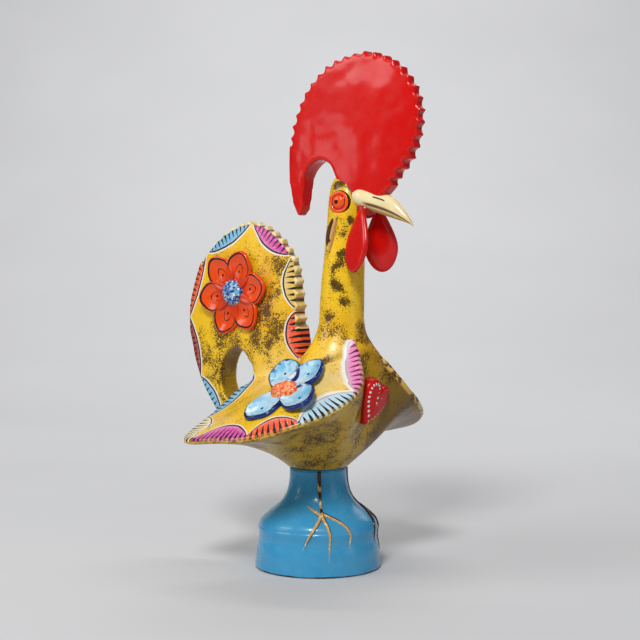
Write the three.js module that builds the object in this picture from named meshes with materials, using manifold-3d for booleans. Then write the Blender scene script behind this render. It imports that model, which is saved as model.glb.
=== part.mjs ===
// Painted clay rooster figurine: a bird with a tall comb, a standing tail and spread wings on a bell-shaped
// pedestal. Millimetres, +Z up. The bird faces +X and its right side is -Y. The origin is the centre of the flat
// underside.

import * as THREE from 'three';
import * as BufferGeometryUtils from 'three/addons/utils/BufferGeometryUtils.js';
import Module from 'manifold-3d';

const wasm = await Module();
wasm.setup();

// Pedestal sizes
const pedestalHeight = 79;
const pedestalWidth = 99;
const skirtHeight = 33;
const skirtTaper = 2.8;
const waistWidth = 44.6;
const edgeRounding = 1.2;
const tenonHeight = 3.2;
const pedestalSides = 36;

// Bird sizes. Its free forms are drawn in hundredths of its height above the pedestal.
const birdHeight = 321;
const percent = birdHeight / 100;
const combThickness = 18;
const tailThickness = 23;
const wingEdgeThickness = 4;
const glazeLip = 0.6;

// Raised legs and toes on the pedestal
const legWidth = 3;
const legRelief = 1.3;
const legAngle = 46;

// How finely the round forms are cut
const columnsPerStation = 3;
const undersideRows = 4;
const wingRows = 5;

// A place on the bird: forward of the axis, out to one side, and up from the pedestal's top
function birdPlace(forward, out, up) {
  return new THREE.Vector3(forward * percent, out * percent, pedestalHeight + up * percent);
}

// A point on a curved line between two places that leaves and arrives along two handles
function bezier(start, leave, arrive, end, share) {
  return new THREE.CubicBezierCurve3(start, leave, arrive, end).getPoint(share);
}

// A closed skin over rings of points that turn anticlockwise about the way the rings run
function skin(rings, startPoint, endPoint) {
  const columns = rings[0].length;
  const points = [startPoint, ...rings.flat(), endPoint];
  const last = points.length - 1;
  const triangles = [];
  for (let column = 0; column < columns; column += 1) {
    const next = (column + 1) % columns;
    const lastRing = 1 + (rings.length - 1) * columns;
    triangles.push(0, 1 + next, 1 + column);
    triangles.push(last, lastRing + column, lastRing + next);
    for (let row = 0; row < rings.length - 1; row += 1) {
      const low = 1 + row * columns;
      const high = low + columns;
      triangles.push(low + column, low + next, high + next);
      triangles.push(low + column, high + next, high + column);
    }
  }
  const geometry = new THREE.BufferGeometry();
  geometry.setAttribute('position', new THREE.Float32BufferAttribute(points.flatMap((point) => point.toArray()), 3));
  geometry.setIndex(triangles);
  return geometry;
}

// The solid that a closed geometry bounds
function solid(geometry) {
  const bare = geometry.clone();
  bare.deleteAttribute('normal');
  bare.deleteAttribute('uv');
  const merged = BufferGeometryUtils.mergeVertices(bare, 1e-4);
  return new wasm.Manifold(new wasm.Mesh({
    numProp: 3,
    vertProperties: new Float32Array(merged.attributes.position.array),
    triVerts: new Uint32Array(merged.index.array),
  }));
}

// The geometry moved to each side of the bird, as two solids
function bothSides(rightGeometry) {
  const mirrored = rightGeometry.clone().scale(1, -1, 1);
  mirrored.setIndex(Array.from(mirrored.index.array).reverse());
  return [solid(rightGeometry), solid(mirrored)];
}

// Pedestal: upright skirt, rounded shoulder, concave sweep and narrow waist
const waistRadius = waistWidth / 2;
const skirtRadius = pedestalWidth / 2;
const shoulderRadius = skirtRadius - skirtTaper;
const sweepHeight = pedestalHeight - skirtHeight;
const sweepReach = shoulderRadius - waistRadius;
const shoulder = new THREE.CubicBezierCurve(
  new THREE.Vector2(shoulderRadius, skirtHeight),
  new THREE.Vector2(shoulderRadius - sweepReach * 0.02, skirtHeight + sweepHeight * 0.11),
  new THREE.Vector2(shoulderRadius - sweepReach * 0.16, skirtHeight + sweepHeight * 0.15),
  new THREE.Vector2(shoulderRadius - sweepReach * 0.4, skirtHeight + sweepHeight * 0.26),
);
const sweep = new THREE.CubicBezierCurve(
  new THREE.Vector2(shoulderRadius - sweepReach * 0.4, skirtHeight + sweepHeight * 0.26),
  new THREE.Vector2(shoulderRadius - sweepReach * 0.85, skirtHeight + sweepHeight * 0.43),
  new THREE.Vector2(waistRadius, skirtHeight + sweepHeight * 0.56),
  new THREE.Vector2(waistRadius, pedestalHeight),
);
const pedestalProfile = [
  new THREE.Vector2(skirtRadius - edgeRounding, 0),
  new THREE.Vector2(skirtRadius, edgeRounding),
  ...shoulder.getPoints(3),
  ...sweep.getPoints(5).slice(1),
];

function pedestalRadius(height) {
  const above = pedestalProfile.findIndex((point) => point.y >= height);
  const high = pedestalProfile[above];
  const low = pedestalProfile[above - 1];
  return THREE.MathUtils.mapLinear(height, low.y, high.y, low.x, high.x);
}

function pedestalGeometry() {
  const tenon = [
    new THREE.Vector2(waistRadius - tenonHeight, pedestalHeight + tenonHeight),
    new THREE.Vector2(0, pedestalHeight + tenonHeight),
  ];
  const lathe = new THREE.LatheGeometry([new THREE.Vector2(0, 0), ...pedestalProfile, ...tenon], pedestalSides);
  return lathe.rotateX(Math.PI / 2);
}

// A raised line over the pedestal through places given as an angle from the front and a share of its height
function raisedLine(places, width, relief) {
  const path = [];
  for (let step = 0; step < places.length - 1; step += 1) {
    const [fromAngle, fromShare] = places[step];
    const [toAngle, toShare] = places[step + 1];
    for (const share of [0, 0.5]) {
      path.push([THREE.MathUtils.lerp(fromAngle, toAngle, share), THREE.MathUtils.lerp(fromShare, toShare, share)]);
    }
  }
  path.push(places.at(-1));
  const onPedestal = path.map(([angle, share]) => {
    const turn = THREE.MathUtils.degToRad(angle);
    const radius = pedestalRadius(share * pedestalHeight);
    return new THREE.Vector3(radius * Math.cos(turn), -radius * Math.sin(turn), share * pedestalHeight);
  });
  const rings = onPedestal.map((point, step) => {
    const before = onPedestal[Math.max(step - 1, 0)];
    const after = onPedestal[Math.min(step + 1, onPedestal.length - 1)];
    const along = after.clone().sub(before).normalize();
    const outward = new THREE.Vector3(point.x, point.y, 0).normalize();
    const slope = outward.sub(along.clone().multiplyScalar(outward.dot(along))).normalize();
    const across = slope.clone().cross(along);
    const taper = 1 - 0.75 * Math.abs(step / (onPedestal.length - 1) - 0.35);
    const place = (side, lift) => point.clone()
      .addScaledVector(across, side * width * taper / 2).addScaledVector(slope, lift * relief);
    return [place(1, -1.2), place(0.75, 0.6), place(0, 1), place(-0.75, 0.6), place(-1, -1.2)];
  });
  return skin(rings, onPedestal[0], onPedestal.at(-1));
}

// Leg, three front toes and a back toe
function footGeometries() {
  const ankle = [legAngle, 0.58];
  return [
    raisedLine([[legAngle + 3, 0.97], ankle], legWidth, legRelief),
    raisedLine([ankle, [legAngle + 11, 0.43], [legAngle + 19, 0.27]], legWidth, legRelief),
    raisedLine([ankle, [legAngle - 6, 0.43], [legAngle - 5, 0.15]], legWidth, legRelief),
    raisedLine([ankle, [legAngle - 21, 0.5], [legAngle - 27, 0.4], [legAngle - 26, 0.27]], legWidth, legRelief),
    raisedLine([ankle, [legAngle + 22, 0.66]], legWidth, legRelief),
  ];
}

// Body stations from the middle of the breast, round the wing's edge, to the middle of the back. Each has its
// angle on the round sections, its place on the edge, the handles of the underside and of the upper face, and
// how far down the neck its root begins to spread.
const stations = [
  { angle: 0, edge: [15.7, 0, 28.3], under: [2.5, 0, -6.9], upper: [-1.2, 0, 3.4], root: 3.5 },
  { angle: 12, edge: [15.3, 3.4, 29.4], under: [4.4, 0, -9.3], upper: [-1.6, -0.6, 2.5], root: 4 },
  { angle: 20, edge: [18.3, 5.3, 25.7], under: [1.2, 0.3, -7.8], upper: [-4.4, 0.3, 2.5], root: 7.5 },
  { angle: 32, edge: [20.2, 9.3, 20.6], under: [-1.2, -0.9, -6.2], upper: [-5, 0.3, 1.9], root: 10.5 },
  { angle: 48, edge: [18.9, 16.5, 16.4], under: [-3.7, -4.4, -2.5], upper: [-4.4, -3.7, 3.7], root: 11.5 },
  { angle: 64, edge: [13.9, 24.6, 13.1], under: [-4.4, -8.1, -0.9], upper: [-4.4, -5, 4.4], root: 12 },
  { angle: 84, edge: [5, 30.3, 10], under: [-1.2, -10.6, -0.6], upper: [0, -6.2, 4.7], root: 12 },
  { angle: 104, edge: [-6.2, 31, 8.7], under: [1.9, -10.6, -0.3], upper: [1.9, -6.9, 4.4], root: 12 },
  { angle: 124, edge: [-17.8, 28.7, 7.9], under: [6.2, -7.8, 0], upper: [4.4, -6.5, 2.5], root: 13.5 },
  { angle: 144, edge: [-19.9, 15.6, 13.1], under: [4.4, -1.9, -3.1], upper: [4.4, -1.9, 1.6], root: 15.5 },
  { angle: 162, edge: [-19.3, 6.9, 18.4], under: [1.9, -0.6, -6.9], upper: [5, -0.6, 0.9], root: 16.5 },
  { angle: 180, edge: [-18.1, 0, 21.8], under: [0.6, 0, -9.3], upper: [5, 0, 0.6], root: 17 },
];
const lastStation = stations.length - 1;

// Round sections of the neck and head: height, middle, half length and half width
const neckSections = [
  { up: 37.7, forward: 7.4, length: 5.4, width: 5.4 },
  { up: 42.4, forward: 7.5, length: 5.3, width: 5.3 },
  { up: 47, forward: 7.8, length: 5.1, width: 5.1 },
  { up: 53.3, forward: 8.2, length: 4.8, width: 4.8 },
  { up: 58.9, forward: 8.5, length: 4.5, width: 4.5 },
  { up: 62.6, forward: 8.9, length: 4.8, width: 4.3 },
  { up: 65.7, forward: 9, length: 4.5, width: 4 },
  { up: 68.2, forward: 8.7, length: 3.7, width: 3.3 },
  { up: 70.1, forward: 8.1, length: 2.3, width: 2.2 },
];
const bowlFlare = 7.7;

// How far the left wing hangs lower than the right at its widest
const leftWingDroop = 2.2;

// A smooth closed line through one value of every station and its mirror image, which may hang lower
function stationLine(read, droop = 0) {
  const right = stations.map(read);
  const left = stations.slice(1, -1).reverse().map((station) => {
    const { x, y, z } = read(station);
    return new THREE.Vector3(x, -y, z - droop * Math.sin(THREE.MathUtils.degToRad(station.angle)) ** 2);
  });
  return new THREE.CatmullRomCurve3([...right, ...left], true, 'centripetal');
}

const edgeLine = stationLine(({ edge }) => new THREE.Vector3(edge[0], -edge[1], edge[2]), leftWingDroop);
const underLine = stationLine(({ under }) => new THREE.Vector3(under[0], -under[1], under[2]));
const upperLine = stationLine(({ upper }) => new THREE.Vector3(upper[0], -upper[1], upper[2]));
const rootLine = stationLine(({ root }) => new THREE.Vector3(0, 0, -root));

function stationAngle(station) {
  const whole = Math.min(Math.floor(station), lastStation - 1);
  const angle = THREE.MathUtils.lerp(stations[whole].angle, stations[whole + 1].angle, station - whole);
  return THREE.MathUtils.degToRad(angle);
}

// Everything that one column of the body's skin passes through, for a station counted round both sides
function bodyColumn(station) {
  const share = station / (2 * lastStation);
  const mirrored = station > lastStation;
  const angle = stationAngle(mirrored ? 2 * lastStation - station : station) * (mirrored ? 1 : -1);
  const edge = birdPlace(...edgeLine.getPoint(share).toArray());
  const half = new THREE.Vector3(0, 0, wingEdgeThickness / 2);
  const lowEdge = edge.clone().sub(half);
  const highEdge = edge.clone().add(half);
  const lip = waistRadius + glazeLip;
  const waist = new THREE.Vector3(lip * Math.cos(angle), lip * Math.sin(angle), pedestalHeight);
  const flare = new THREE.Vector3(Math.cos(angle), Math.sin(angle), 0.85).multiplyScalar(bowlFlare * percent);
  const root = neckSections[0];
  const neck = birdPlace(root.forward + root.length * Math.cos(angle), root.width * Math.sin(angle), root.up);
  return {
    angle,
    underside: [
      waist,
      waist.clone().add(flare),
      lowEdge.clone().addScaledVector(underLine.getPoint(share), percent),
      lowEdge,
    ],
    upperFace: [
      highEdge,
      highEdge.clone().addScaledVector(upperLine.getPoint(share), percent),
      neck.clone().addScaledVector(rootLine.getPoint(share), percent),
      neck,
    ],
  };
}

function bodyGeometry() {
  const columnCount = 2 * lastStation * columnsPerStation;
  const columns = Array.from({ length: columnCount }, (_, column) => bodyColumn(
    (2 * lastStation) * (1 - column / columnCount) % (2 * lastStation),
  ));
  const rings = [];
  for (let row = 0; row <= undersideRows; row += 1) {
    rings.push(columns.map(({ underside }) => bezier(...underside, row / undersideRows)));
  }
  for (let row = 0; row <= wingRows; row += 1) {
    rings.push(columns.map(({ upperFace }) => bezier(...upperFace, row / wingRows)));
  }
  for (const { up, forward, length, width } of neckSections.slice(1)) {
    rings.push(columns.map(({ angle }) => birdPlace(
      forward + length * Math.cos(angle), width * Math.sin(angle), up,
    )));
  }
  const sunk = new THREE.Vector3(0, 0, pedestalHeight - glazeLip);
  const top = neckSections.at(-1);
  return skin(rings, sunk, birdPlace(top.forward, 0, top.up + 0.7));
}

// A smooth closed outline whose tips carry pinched teeth between two of its points
function toothedOutline(points, firstTooth, lastTooth, teeth, depth, plainSteps) {
  const line = new THREE.CatmullRomCurve3(points.map(([x, y]) => new THREE.Vector3(x, y, 0)), true, 'centripetal');
  const fineness = 20;
  const lengths = line.getLengths(points.length * fineness);
  const start = lengths[firstTooth * fineness] / lengths.at(-1);
  const end = lengths[lastTooth * fineness] / lengths.at(-1);
  const outline = [];
  for (let notch = 0; notch <= 2 * teeth; notch += 1) {
    const place = THREE.MathUtils.lerp(start, end, notch / (2 * teeth));
    const point = line.getPointAt(place);
    const along = line.getTangentAt(place);
    const inward = notch % 2 === 0 ? depth : 0;
    outline.push(new THREE.Vector2(point.x - along.y * inward, point.y + along.x * inward));
  }
  for (let step = 1; step < plainSteps; step += 1) {
    const point = line.getPointAt(THREE.MathUtils.lerp(end, 1 + start, step / plainSteps) % 1);
    outline.push(new THREE.Vector2(point.x, point.y));
  }
  return outline.map((point) => new THREE.Vector2(point.x * percent, pedestalHeight + point.y * percent));
}

// The lens that keeps the given shares of a slab's middle thickness where its outline reaches farthest
function lensOver(outline, { forward, up, sideRim, topRim }) {
  const farthest = (axis, middle) => Math.max(...outline.map((point) => Math.abs(point[axis] - middle)));
  return {
    forward,
    up,
    length: farthest(0, forward) / Math.sqrt(1 - sideRim ** 2),
    height: farthest(1, up) / Math.sqrt(1 - topRim ** 2),
  };
}

// A slab standing along the bird's middle plane, cut to an outline and swelling towards its middle as a lens does
function standingSlab(outline, lens, thickness) {
  const prism = new THREE.ExtrudeGeometry(new THREE.Shape(outline), { depth: 2 * thickness, bevelEnabled: false });
  prism.rotateX(Math.PI / 2).translate(0, thickness, 0);
  const swelling = new THREE.SphereGeometry(1, 20, 8);
  swelling.scale(lens.length * percent, thickness / 2, lens.height * percent);
  swelling.translate(lens.forward * percent, 0, pedestalHeight + lens.up * percent);
  return solid(prism).intersect(solid(swelling));
}

// Comb: from above the beak, over its round crown, down the rear lobe and back under the arch to the head
const combOutline = [
  [19.9, 65.4], [23.4, 68.4], [28.1, 73.7], [31.2, 80.7], [31, 88.2], [27.4, 94.2], [21.2, 98.6], [13.1, 100],
  [4.4, 97.4], [-2.2, 91.9], [-6.2, 84.4], [-7.4, 78.6], [-7.7, 73], [-7.2, 67.5], [-6.5, 63.6], [-5.1, 61.2],
  [-3.8, 62.8], [-3.3, 66.4], [-2.2, 71.7], [1.6, 74.5], [5.3, 73.5], [7.5, 69.8], [10, 67], [15, 65.1],
];
const combTeeth = { first: 1, last: 11, count: 26, depth: 1.2 };
const combLens = lensOver(combOutline, { forward: 7.5, up: 80.7, sideRim: 0.467, topRim: 0.667 });

function combSolid() {
  const { first, last, count, depth } = combTeeth;
  return standingSlab(toothedOutline(combOutline, first, last, count, depth, 30), combLens, combThickness);
}

// Tail: from its notch behind the neck, over the crown, down the rear edge and under to the body
const tailOutline = [
  [-3.7, 26.8], [-4.4, 34.6], [-4.8, 42.4], [-5.9, 50.2], [-9.7, 55.1], [-15.6, 59.3], [-21.8, 60.3], [-28, 58.4],
  [-33.6, 54.8], [-37.9, 50.2], [-40.7, 43.3], [-41.9, 36.4], [-40.4, 28.3], [-37.1, 20.2], [-33, 14],
  [-29.9, 10.6], [-24.9, 7.8], [-14, 5.9], [-9.3, 12.8],
];
const tailTeeth = { first: 1, last: 9, count: 18, depth: 1.1 };
const tailLens = lensOver(tailOutline, { forward: -22.4, up: 25.2, sideRim: 0.547, topRim: 0.331 });
const tailHole = { forward: -24.1, up: 20.9, length: 5.4, height: 7.5, sides: 16 };

function tailSolid() {
  const { first, last, count, depth } = tailTeeth;
  const slab = standingSlab(toothedOutline(tailOutline, first, last, count, depth, 16), tailLens, tailThickness);
  const hole = new THREE.CylinderGeometry(1, 1, 2 * tailThickness, tailHole.sides);
  hole.scale(tailHole.length * percent, 1, tailHole.height * percent);
  hole.translate(tailHole.forward * percent, 0, pedestalHeight + tailHole.up * percent);
  return slab.subtract(solid(hole));
}

// Half the tail's thickness at a place on it
function tailFace(forward, up) {
  const along = (forward - tailLens.forward) / tailLens.length;
  const rise = (up - tailLens.up) / tailLens.height;
  return tailThickness / 2 * Math.sqrt(1 - along ** 2 - rise ** 2);
}

// Beak sections: middle, half height and half width
const beakSections = [
  { forward: 11.8, up: 65.4, height: 3, width: 3.4 },
  { forward: 14.6, up: 65.3, height: 2.7, width: 3.2 },
  { forward: 18.3, up: 64.3, height: 2.7, width: 2.6 },
  { forward: 21.2, up: 63.4, height: 2.6, width: 1.9 },
  { forward: 23.7, up: 62.3, height: 2.2, width: 1.5 },
  { forward: 25.9, up: 60.9, height: 1.4, width: 1 },
  { forward: 27.4, up: 59.7, height: 0.7, width: 0.6 },
];
const beakTip = [28.4, 0, 58.6];
const beakSides = 12;

function beakGeometry() {
  const turns = Array.from({ length: beakSides }, (_, side) => 2 * Math.PI * side / beakSides);
  const rings = beakSections.map(({ forward, up, height, width }) => turns.map(
    (turn) => birdPlace(forward, width * Math.cos(turn), up + height * Math.sin(turn)),
  ));
  return skin(rings, birdPlace(beakSections[0].forward, 0, beakSections[0].up), birdPlace(...beakTip));
}

// Eye: a shallow round button on the side of the head, placed by a count along the head's sections
const eye = { section: 5.55, ahead: 0.55, sink: 0.25, radius: 2.7, relief: 0.9 };

function eyeGeometry() {
  const below = Math.floor(eye.section);
  const between = (measure) => THREE.MathUtils.lerp(
    neckSections[below][measure], neckSections[below + 1][measure], eye.section - below,
  );
  const button = new THREE.SphereGeometry(1, 10, 5);
  button.scale(eye.radius * percent, eye.relief * percent, eye.radius * percent);
  const place = birdPlace(between('forward') + eye.ahead, eye.sink - between('width'), between('up'));
  return button.translate(place.x, place.y, place.z);
}

// Throat: the lump of clay under the beak's root that carries the wattles
const throat = { forward: 15, up: 62.8, length: 2.6, width: 4, height: 2.1 };

function throatGeometry() {
  const lump = new THREE.SphereGeometry(1, 12, 8);
  lump.scale(throat.length * percent, throat.width * percent, throat.height * percent);
  return lump.translate(throat.forward * percent, 0, pedestalHeight + throat.up * percent);
}

// Wattle: a flat drop that hangs under the beak and spreads outward and forward
const wattle = { forward: 16, out: 3.3, up: 62.6, width: 8.9, height: 15.2, thickness: 2.2, yaw: 18, splay: 10 };

function wattleGeometry() {
  const drop = new THREE.SphereGeometry(1, 10, 8);
  const position = drop.attributes.position;
  for (let corner = 0; corner < position.count; corner += 1) {
    const height = position.getY(corner);
    const narrowing = 1 - 0.42 * THREE.MathUtils.smoothstep(height, -0.4, 1);
    position.setX(corner, position.getX(corner) * narrowing);
  }
  drop.rotateX(Math.PI / 2);
  drop.scale(wattle.width * percent / 2, wattle.thickness * percent / 2, wattle.height * percent / 2);
  drop.translate(0, 0, -wattle.height * percent / 2);
  drop.rotateX(THREE.MathUtils.degToRad(-wattle.splay));
  drop.rotateZ(THREE.MathUtils.degToRad(-wattle.yaw));
  const hinge = birdPlace(wattle.forward, -wattle.out, wattle.up);
  return drop.translate(hinge.x, hinge.y, hinge.z);
}

// Clay flowers: round dished petals about a domed middle
const petal = { relief: 1.1, sink: 1.4 };
const flowerMiddle = { radius: 3.7, relief: 2.5 };

function flowerGeometries({ turns, reach, radius }, placing) {
  const profile = [
    new THREE.Vector2(0, -petal.sink),
    new THREE.Vector2(radius * 0.9, -petal.sink),
    new THREE.Vector2(radius, petal.relief * 0.5),
    new THREE.Vector2(radius * 0.88, petal.relief * 1.1),
    new THREE.Vector2(0, petal.relief * 0.6),
  ].map((point) => point.multiplyScalar(percent));
  const petals = turns.map((turn) => {
    const disc = new THREE.LatheGeometry(profile, 8).rotateX(Math.PI / 2);
    disc.scale(1.12, 1, 1).translate(reach * percent, 0, 0);
    return disc.rotateZ(THREE.MathUtils.degToRad(turn));
  });
  const middle = new THREE.SphereGeometry(1, 10, 5).rotateX(Math.PI / 2);
  middle.scale(flowerMiddle.radius * percent, flowerMiddle.radius * percent, flowerMiddle.relief * percent);
  return [...petals, middle].map((geometry) => geometry.applyMatrix4(placing));
}

// A frame on a face: its first axis leans towards a given way, its third points out of the face
function frameOn(point, outward, lean) {
  const first = lean.clone().addScaledVector(outward, -lean.dot(outward)).normalize();
  const second = outward.clone().cross(first);
  return new THREE.Matrix4().makeBasis(first, second, outward).setPosition(point);
}

// Tail flower: its petals turn about it in even steps
const tailFlower = { forward: -24.4, up: 42.1, turns: [10, 70, 130, 190, 250, 310], reach: 6.1, radius: 4.2 };

function tailFlowerGeometries() {
  const { forward, up } = tailFlower;
  const point = birdPlace(forward, 0, up);
  point.y = -tailFace(forward, up);
  return flowerGeometries(tailFlower, frameOn(point, new THREE.Vector3(0, -1, 0), new THREE.Vector3(1, 0, 0)));
}

// Wing flower: its petals are pressed on by hand, at uneven turns. The left one sits farther back on its wing
const wingFlower = { turns: [-116, -21, 59, 123], reach: 6, radius: 4.5 };
const rightFlowerPlace = { station: 6.3, rise: 0.45 };
const leftFlowerPlace = { station: 7.6, rise: 0.45 };

// The flower of one wing: side is 1 for the right wing and -1 for the left, where it is a mirror image
function wingFlowerGeometries(side) {
  const step = 0.05;
  const { station: near, rise } = side > 0 ? rightFlowerPlace : leftFlowerPlace;
  const station = side > 0 ? near : 2 * lastStation - near;
  const at = (place, share) => bezier(...bodyColumn(place).upperFace, share);
  const point = at(station, rise);
  const round = at(station + step, rise).sub(at(station - step, rise));
  const upward = at(station, rise + step).sub(at(station, rise - step));
  const outward = upward.cross(round).normalize();
  const flower = { ...wingFlower, turns: wingFlower.turns.map((turn) => side * turn) };
  return flowerGeometries(flower, frameOn(point, outward, new THREE.Vector3(1, 0, 0)));
}

// Heart on the breast
const heart = {
  forward: 17.3, out: -0.6, up: 16.7, width: 10.2, height: 11.2, thickness: 1.7, sink: 2.6, tilt: 12, lean: 26,
};

function heartGeometry() {
  const half = heart.width * percent / 2;
  const tall = heart.height * percent / 2;
  const shape = new THREE.Shape();
  shape.moveTo(0, -tall);
  shape.bezierCurveTo(half * 0.5, -tall * 0.5, half, -tall * 0.1, half, tall * 0.45);
  shape.bezierCurveTo(half, tall, half * 0.15, tall * 1.2, 0, tall * 0.55);
  shape.bezierCurveTo(-half * 0.15, tall * 1.2, -half, tall, -half, tall * 0.45);
  shape.bezierCurveTo(-half, -tall * 0.1, -half * 0.5, -tall * 0.5, 0, -tall);
  const slab = new THREE.ExtrudeGeometry(shape, {
    depth: (heart.thickness + heart.sink) * percent, bevelEnabled: false, curveSegments: 6,
  });
  slab.translate(0, 0, -(heart.thickness / 2 + heart.sink) * percent);
  slab.rotateZ(THREE.MathUtils.degToRad(-heart.lean));
  slab.rotateX(Math.PI / 2).rotateZ(Math.PI / 2);
  slab.rotateY(THREE.MathUtils.degToRad(heart.tilt));
  const middle = birdPlace(heart.forward, heart.out, heart.up);
  return slab.translate(middle.x, middle.y, middle.z);
}

// The whole figurine, joined as one piece of clay
function figurine() {
  const middle = [
    pedestalGeometry(), bodyGeometry(), beakGeometry(), throatGeometry(), heartGeometry(),
    ...wingFlowerGeometries(1), ...wingFlowerGeometries(-1),
  ].map(solid);
  const sides = [
    ...footGeometries(), eyeGeometry(), wattleGeometry(), ...tailFlowerGeometries(),
  ].flatMap(bothSides);
  return [...middle, tailSolid(), combSolid(), ...sides].reduce((whole, piece) => whole.add(piece));
}

function meshOf(name, body, material) {
  const { numProp, vertProperties, triVerts } = body.getMesh();
  const geometry = new THREE.BufferGeometry();
  geometry.setAttribute('position', new THREE.BufferAttribute(vertProperties, numProp));
  geometry.setIndex(new THREE.BufferAttribute(triVerts, 1));
  geometry.computeVertexNormals();
  const mesh = new THREE.Mesh(geometry, material);
  mesh.name = name;
  return mesh;
}

const paintedClay = new THREE.MeshStandardMaterial({ color: 0xe3b32b, roughness: 0.32, metalness: 0 });

const rooster = new THREE.Group();
rooster.add(meshOf('rooster', figurine(), paintedClay));

export default rooster;
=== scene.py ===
"""Painted clay rooster figurine: its skin, clay ornaments and brushed paint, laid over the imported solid."""

import math

import bpy
import numpy as np
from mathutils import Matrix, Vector, kdtree, noise
from mathutils.geometry import delaunay_2d_cdt


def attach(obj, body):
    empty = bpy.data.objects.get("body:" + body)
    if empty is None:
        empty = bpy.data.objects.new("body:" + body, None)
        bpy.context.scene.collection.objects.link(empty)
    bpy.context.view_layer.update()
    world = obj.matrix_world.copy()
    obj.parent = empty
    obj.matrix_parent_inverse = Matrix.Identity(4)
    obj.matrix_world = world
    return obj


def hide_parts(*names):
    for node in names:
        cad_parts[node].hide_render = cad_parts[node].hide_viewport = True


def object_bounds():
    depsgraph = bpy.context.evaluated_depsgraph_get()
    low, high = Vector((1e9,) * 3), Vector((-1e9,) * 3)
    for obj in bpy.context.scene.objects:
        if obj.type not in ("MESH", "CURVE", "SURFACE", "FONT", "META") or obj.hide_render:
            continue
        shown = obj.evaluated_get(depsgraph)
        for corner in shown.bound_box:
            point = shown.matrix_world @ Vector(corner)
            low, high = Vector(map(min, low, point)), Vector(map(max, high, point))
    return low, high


bl_info = {
    "name": "Painted Clay Rooster",
    "version": (1, 0, 0),
    "blender": (4, 5, 0),
    "location": "3D View > Sidebar > Rooster",
    "description": "Builds a painted clay rooster figurine over its packed solid",
    "category": "Object",
}

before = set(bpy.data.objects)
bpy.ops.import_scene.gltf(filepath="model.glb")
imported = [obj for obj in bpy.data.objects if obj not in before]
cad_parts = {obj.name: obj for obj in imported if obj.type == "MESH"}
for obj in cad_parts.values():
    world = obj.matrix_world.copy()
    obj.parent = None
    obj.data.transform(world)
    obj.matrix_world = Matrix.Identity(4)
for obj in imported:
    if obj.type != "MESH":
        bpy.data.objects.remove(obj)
CAD_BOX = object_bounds()
MILLIMETRE = 0.001

# Body stations from the middle of the breast, round the wing's rim, to the middle of the back, in hundredths
# of the bird's height: angle on the round sections, place on the rim, handles of the underside and of the
# upper face, and how far down the neck its root begins to spread.
STATION_ANGLES = [0, 12, 20, 32, 48, 64, 84, 104, 124, 144, 162, 180]
STATION_RIM = [
    (15.7, 0, 28.3), (15.3, 3.4, 29.4), (18.3, 5.3, 25.7), (20.2, 9.3, 20.6),
    (18.9, 16.5, 16.4), (13.9, 24.6, 13.1), (5, 30.3, 10), (-6.2, 31, 8.7),
    (-17.8, 28.7, 7.9), (-19.9, 15.6, 13.1), (-19.3, 6.9, 18.4), (-18.1, 0, 21.8),
]
STATION_UNDER = [
    (2.5, 0, -6.9), (4.4, 0, -9.3), (1.2, 0.3, -7.8), (-1.2, -0.9, -6.2),
    (-3.7, -4.4, -2.5), (-4.4, -8.1, -0.9), (-1.2, -10.6, -0.6), (1.9, -10.6, -0.3),
    (6.2, -7.8, 0), (4.4, -1.9, -3.1), (1.9, -0.6, -6.9), (0.6, 0, -9.3),
]
STATION_UPPER = [
    (-1.2, 0, 3.4), (-1.6, -0.6, 2.5), (-4.4, 0.3, 2.5), (-5, 0.3, 1.9),
    (-4.4, -3.7, 3.7), (-4.4, -5, 4.4), (0, -6.2, 4.7), (1.9, -6.9, 4.4),
    (4.4, -6.5, 2.5), (4.4, -1.9, 1.6), (5, -0.6, 0.9), (5, 0, 0.6),
]
STATION_ROOT = [3.5, 4, 7.5, 10.5, 11.5, 12, 12, 12, 13.5, 15.5, 16.5, 17]
BOWL_FLARE = 7.7

# Where the painted rim leaves the real one: up the side of the neck's foot instead of across the breast
PAINTED_RIM_START = [(12.4, 0, 36.5), (13.4, 3.2, 31.7), (16.3, 4.1, 27.6)]
LAST_STATION = len(STATION_ANGLES) - 1
LEFT_WING_DROOP = 2.2

# Round sections of the neck and head: height, middle, half length and half width
NECK_SECTIONS = [
    (37.7, 7.4, 5.4, 5.4), (42.4, 7.5, 5.3, 5.3), (47, 7.8, 5.1, 5.1),
    (53.3, 8.2, 4.8, 4.8), (58.9, 8.5, 4.5, 4.5), (62.6, 8.9, 4.8, 4.3),
    (65.7, 9, 4.5, 4), (68.2, 8.7, 3.7, 3.3), (70.1, 8.1, 2.3, 2.2),
]

# Standing slabs: outline, middle of the lens that they swell to, shares of their thickness kept at the side
# and top rims, and where their pinched teeth run
COMB_OUTLINE = [
    (19.9, 65.4), (23.4, 68.4), (28.1, 73.7), (31.2, 80.7), (31, 88.2), (27.4, 94.2),
    (21.2, 98.6), (13.1, 100), (4.4, 97.4), (-2.2, 91.9), (-6.2, 84.4), (-7.4, 78.6),
    (-7.7, 73), (-7.2, 67.5), (-6.5, 63.6), (-5.1, 61.2), (-3.8, 62.8), (-3.3, 66.4),
    (-2.2, 71.7), (1.6, 74.5), (5.3, 73.5), (7.5, 69.8), (10, 67), (15, 65.1),
]
COMB_LENS = (7.5, 80.7, 0.467, 0.667)
COMB_TEETH = (1, 11, 26)
TAIL_OUTLINE = [
    (-3.7, 26.8), (-4.4, 34.6), (-4.8, 42.4), (-5.9, 50.2), (-9.7, 55.1), (-15.6, 59.3), (-21.8, 60.3),
    (-28, 58.4), (-33.6, 54.8), (-37.9, 50.2), (-40.7, 43.3), (-41.9, 36.4), (-40.4, 28.3), (-37.1, 20.2),
    (-33, 14), (-29.9, 10.6), (-24.9, 7.8), (-14, 5.9), (-9.3, 12.8),
]
TAIL_LENS = (-22.4, 25.2, 0.547, 0.331)
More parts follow.
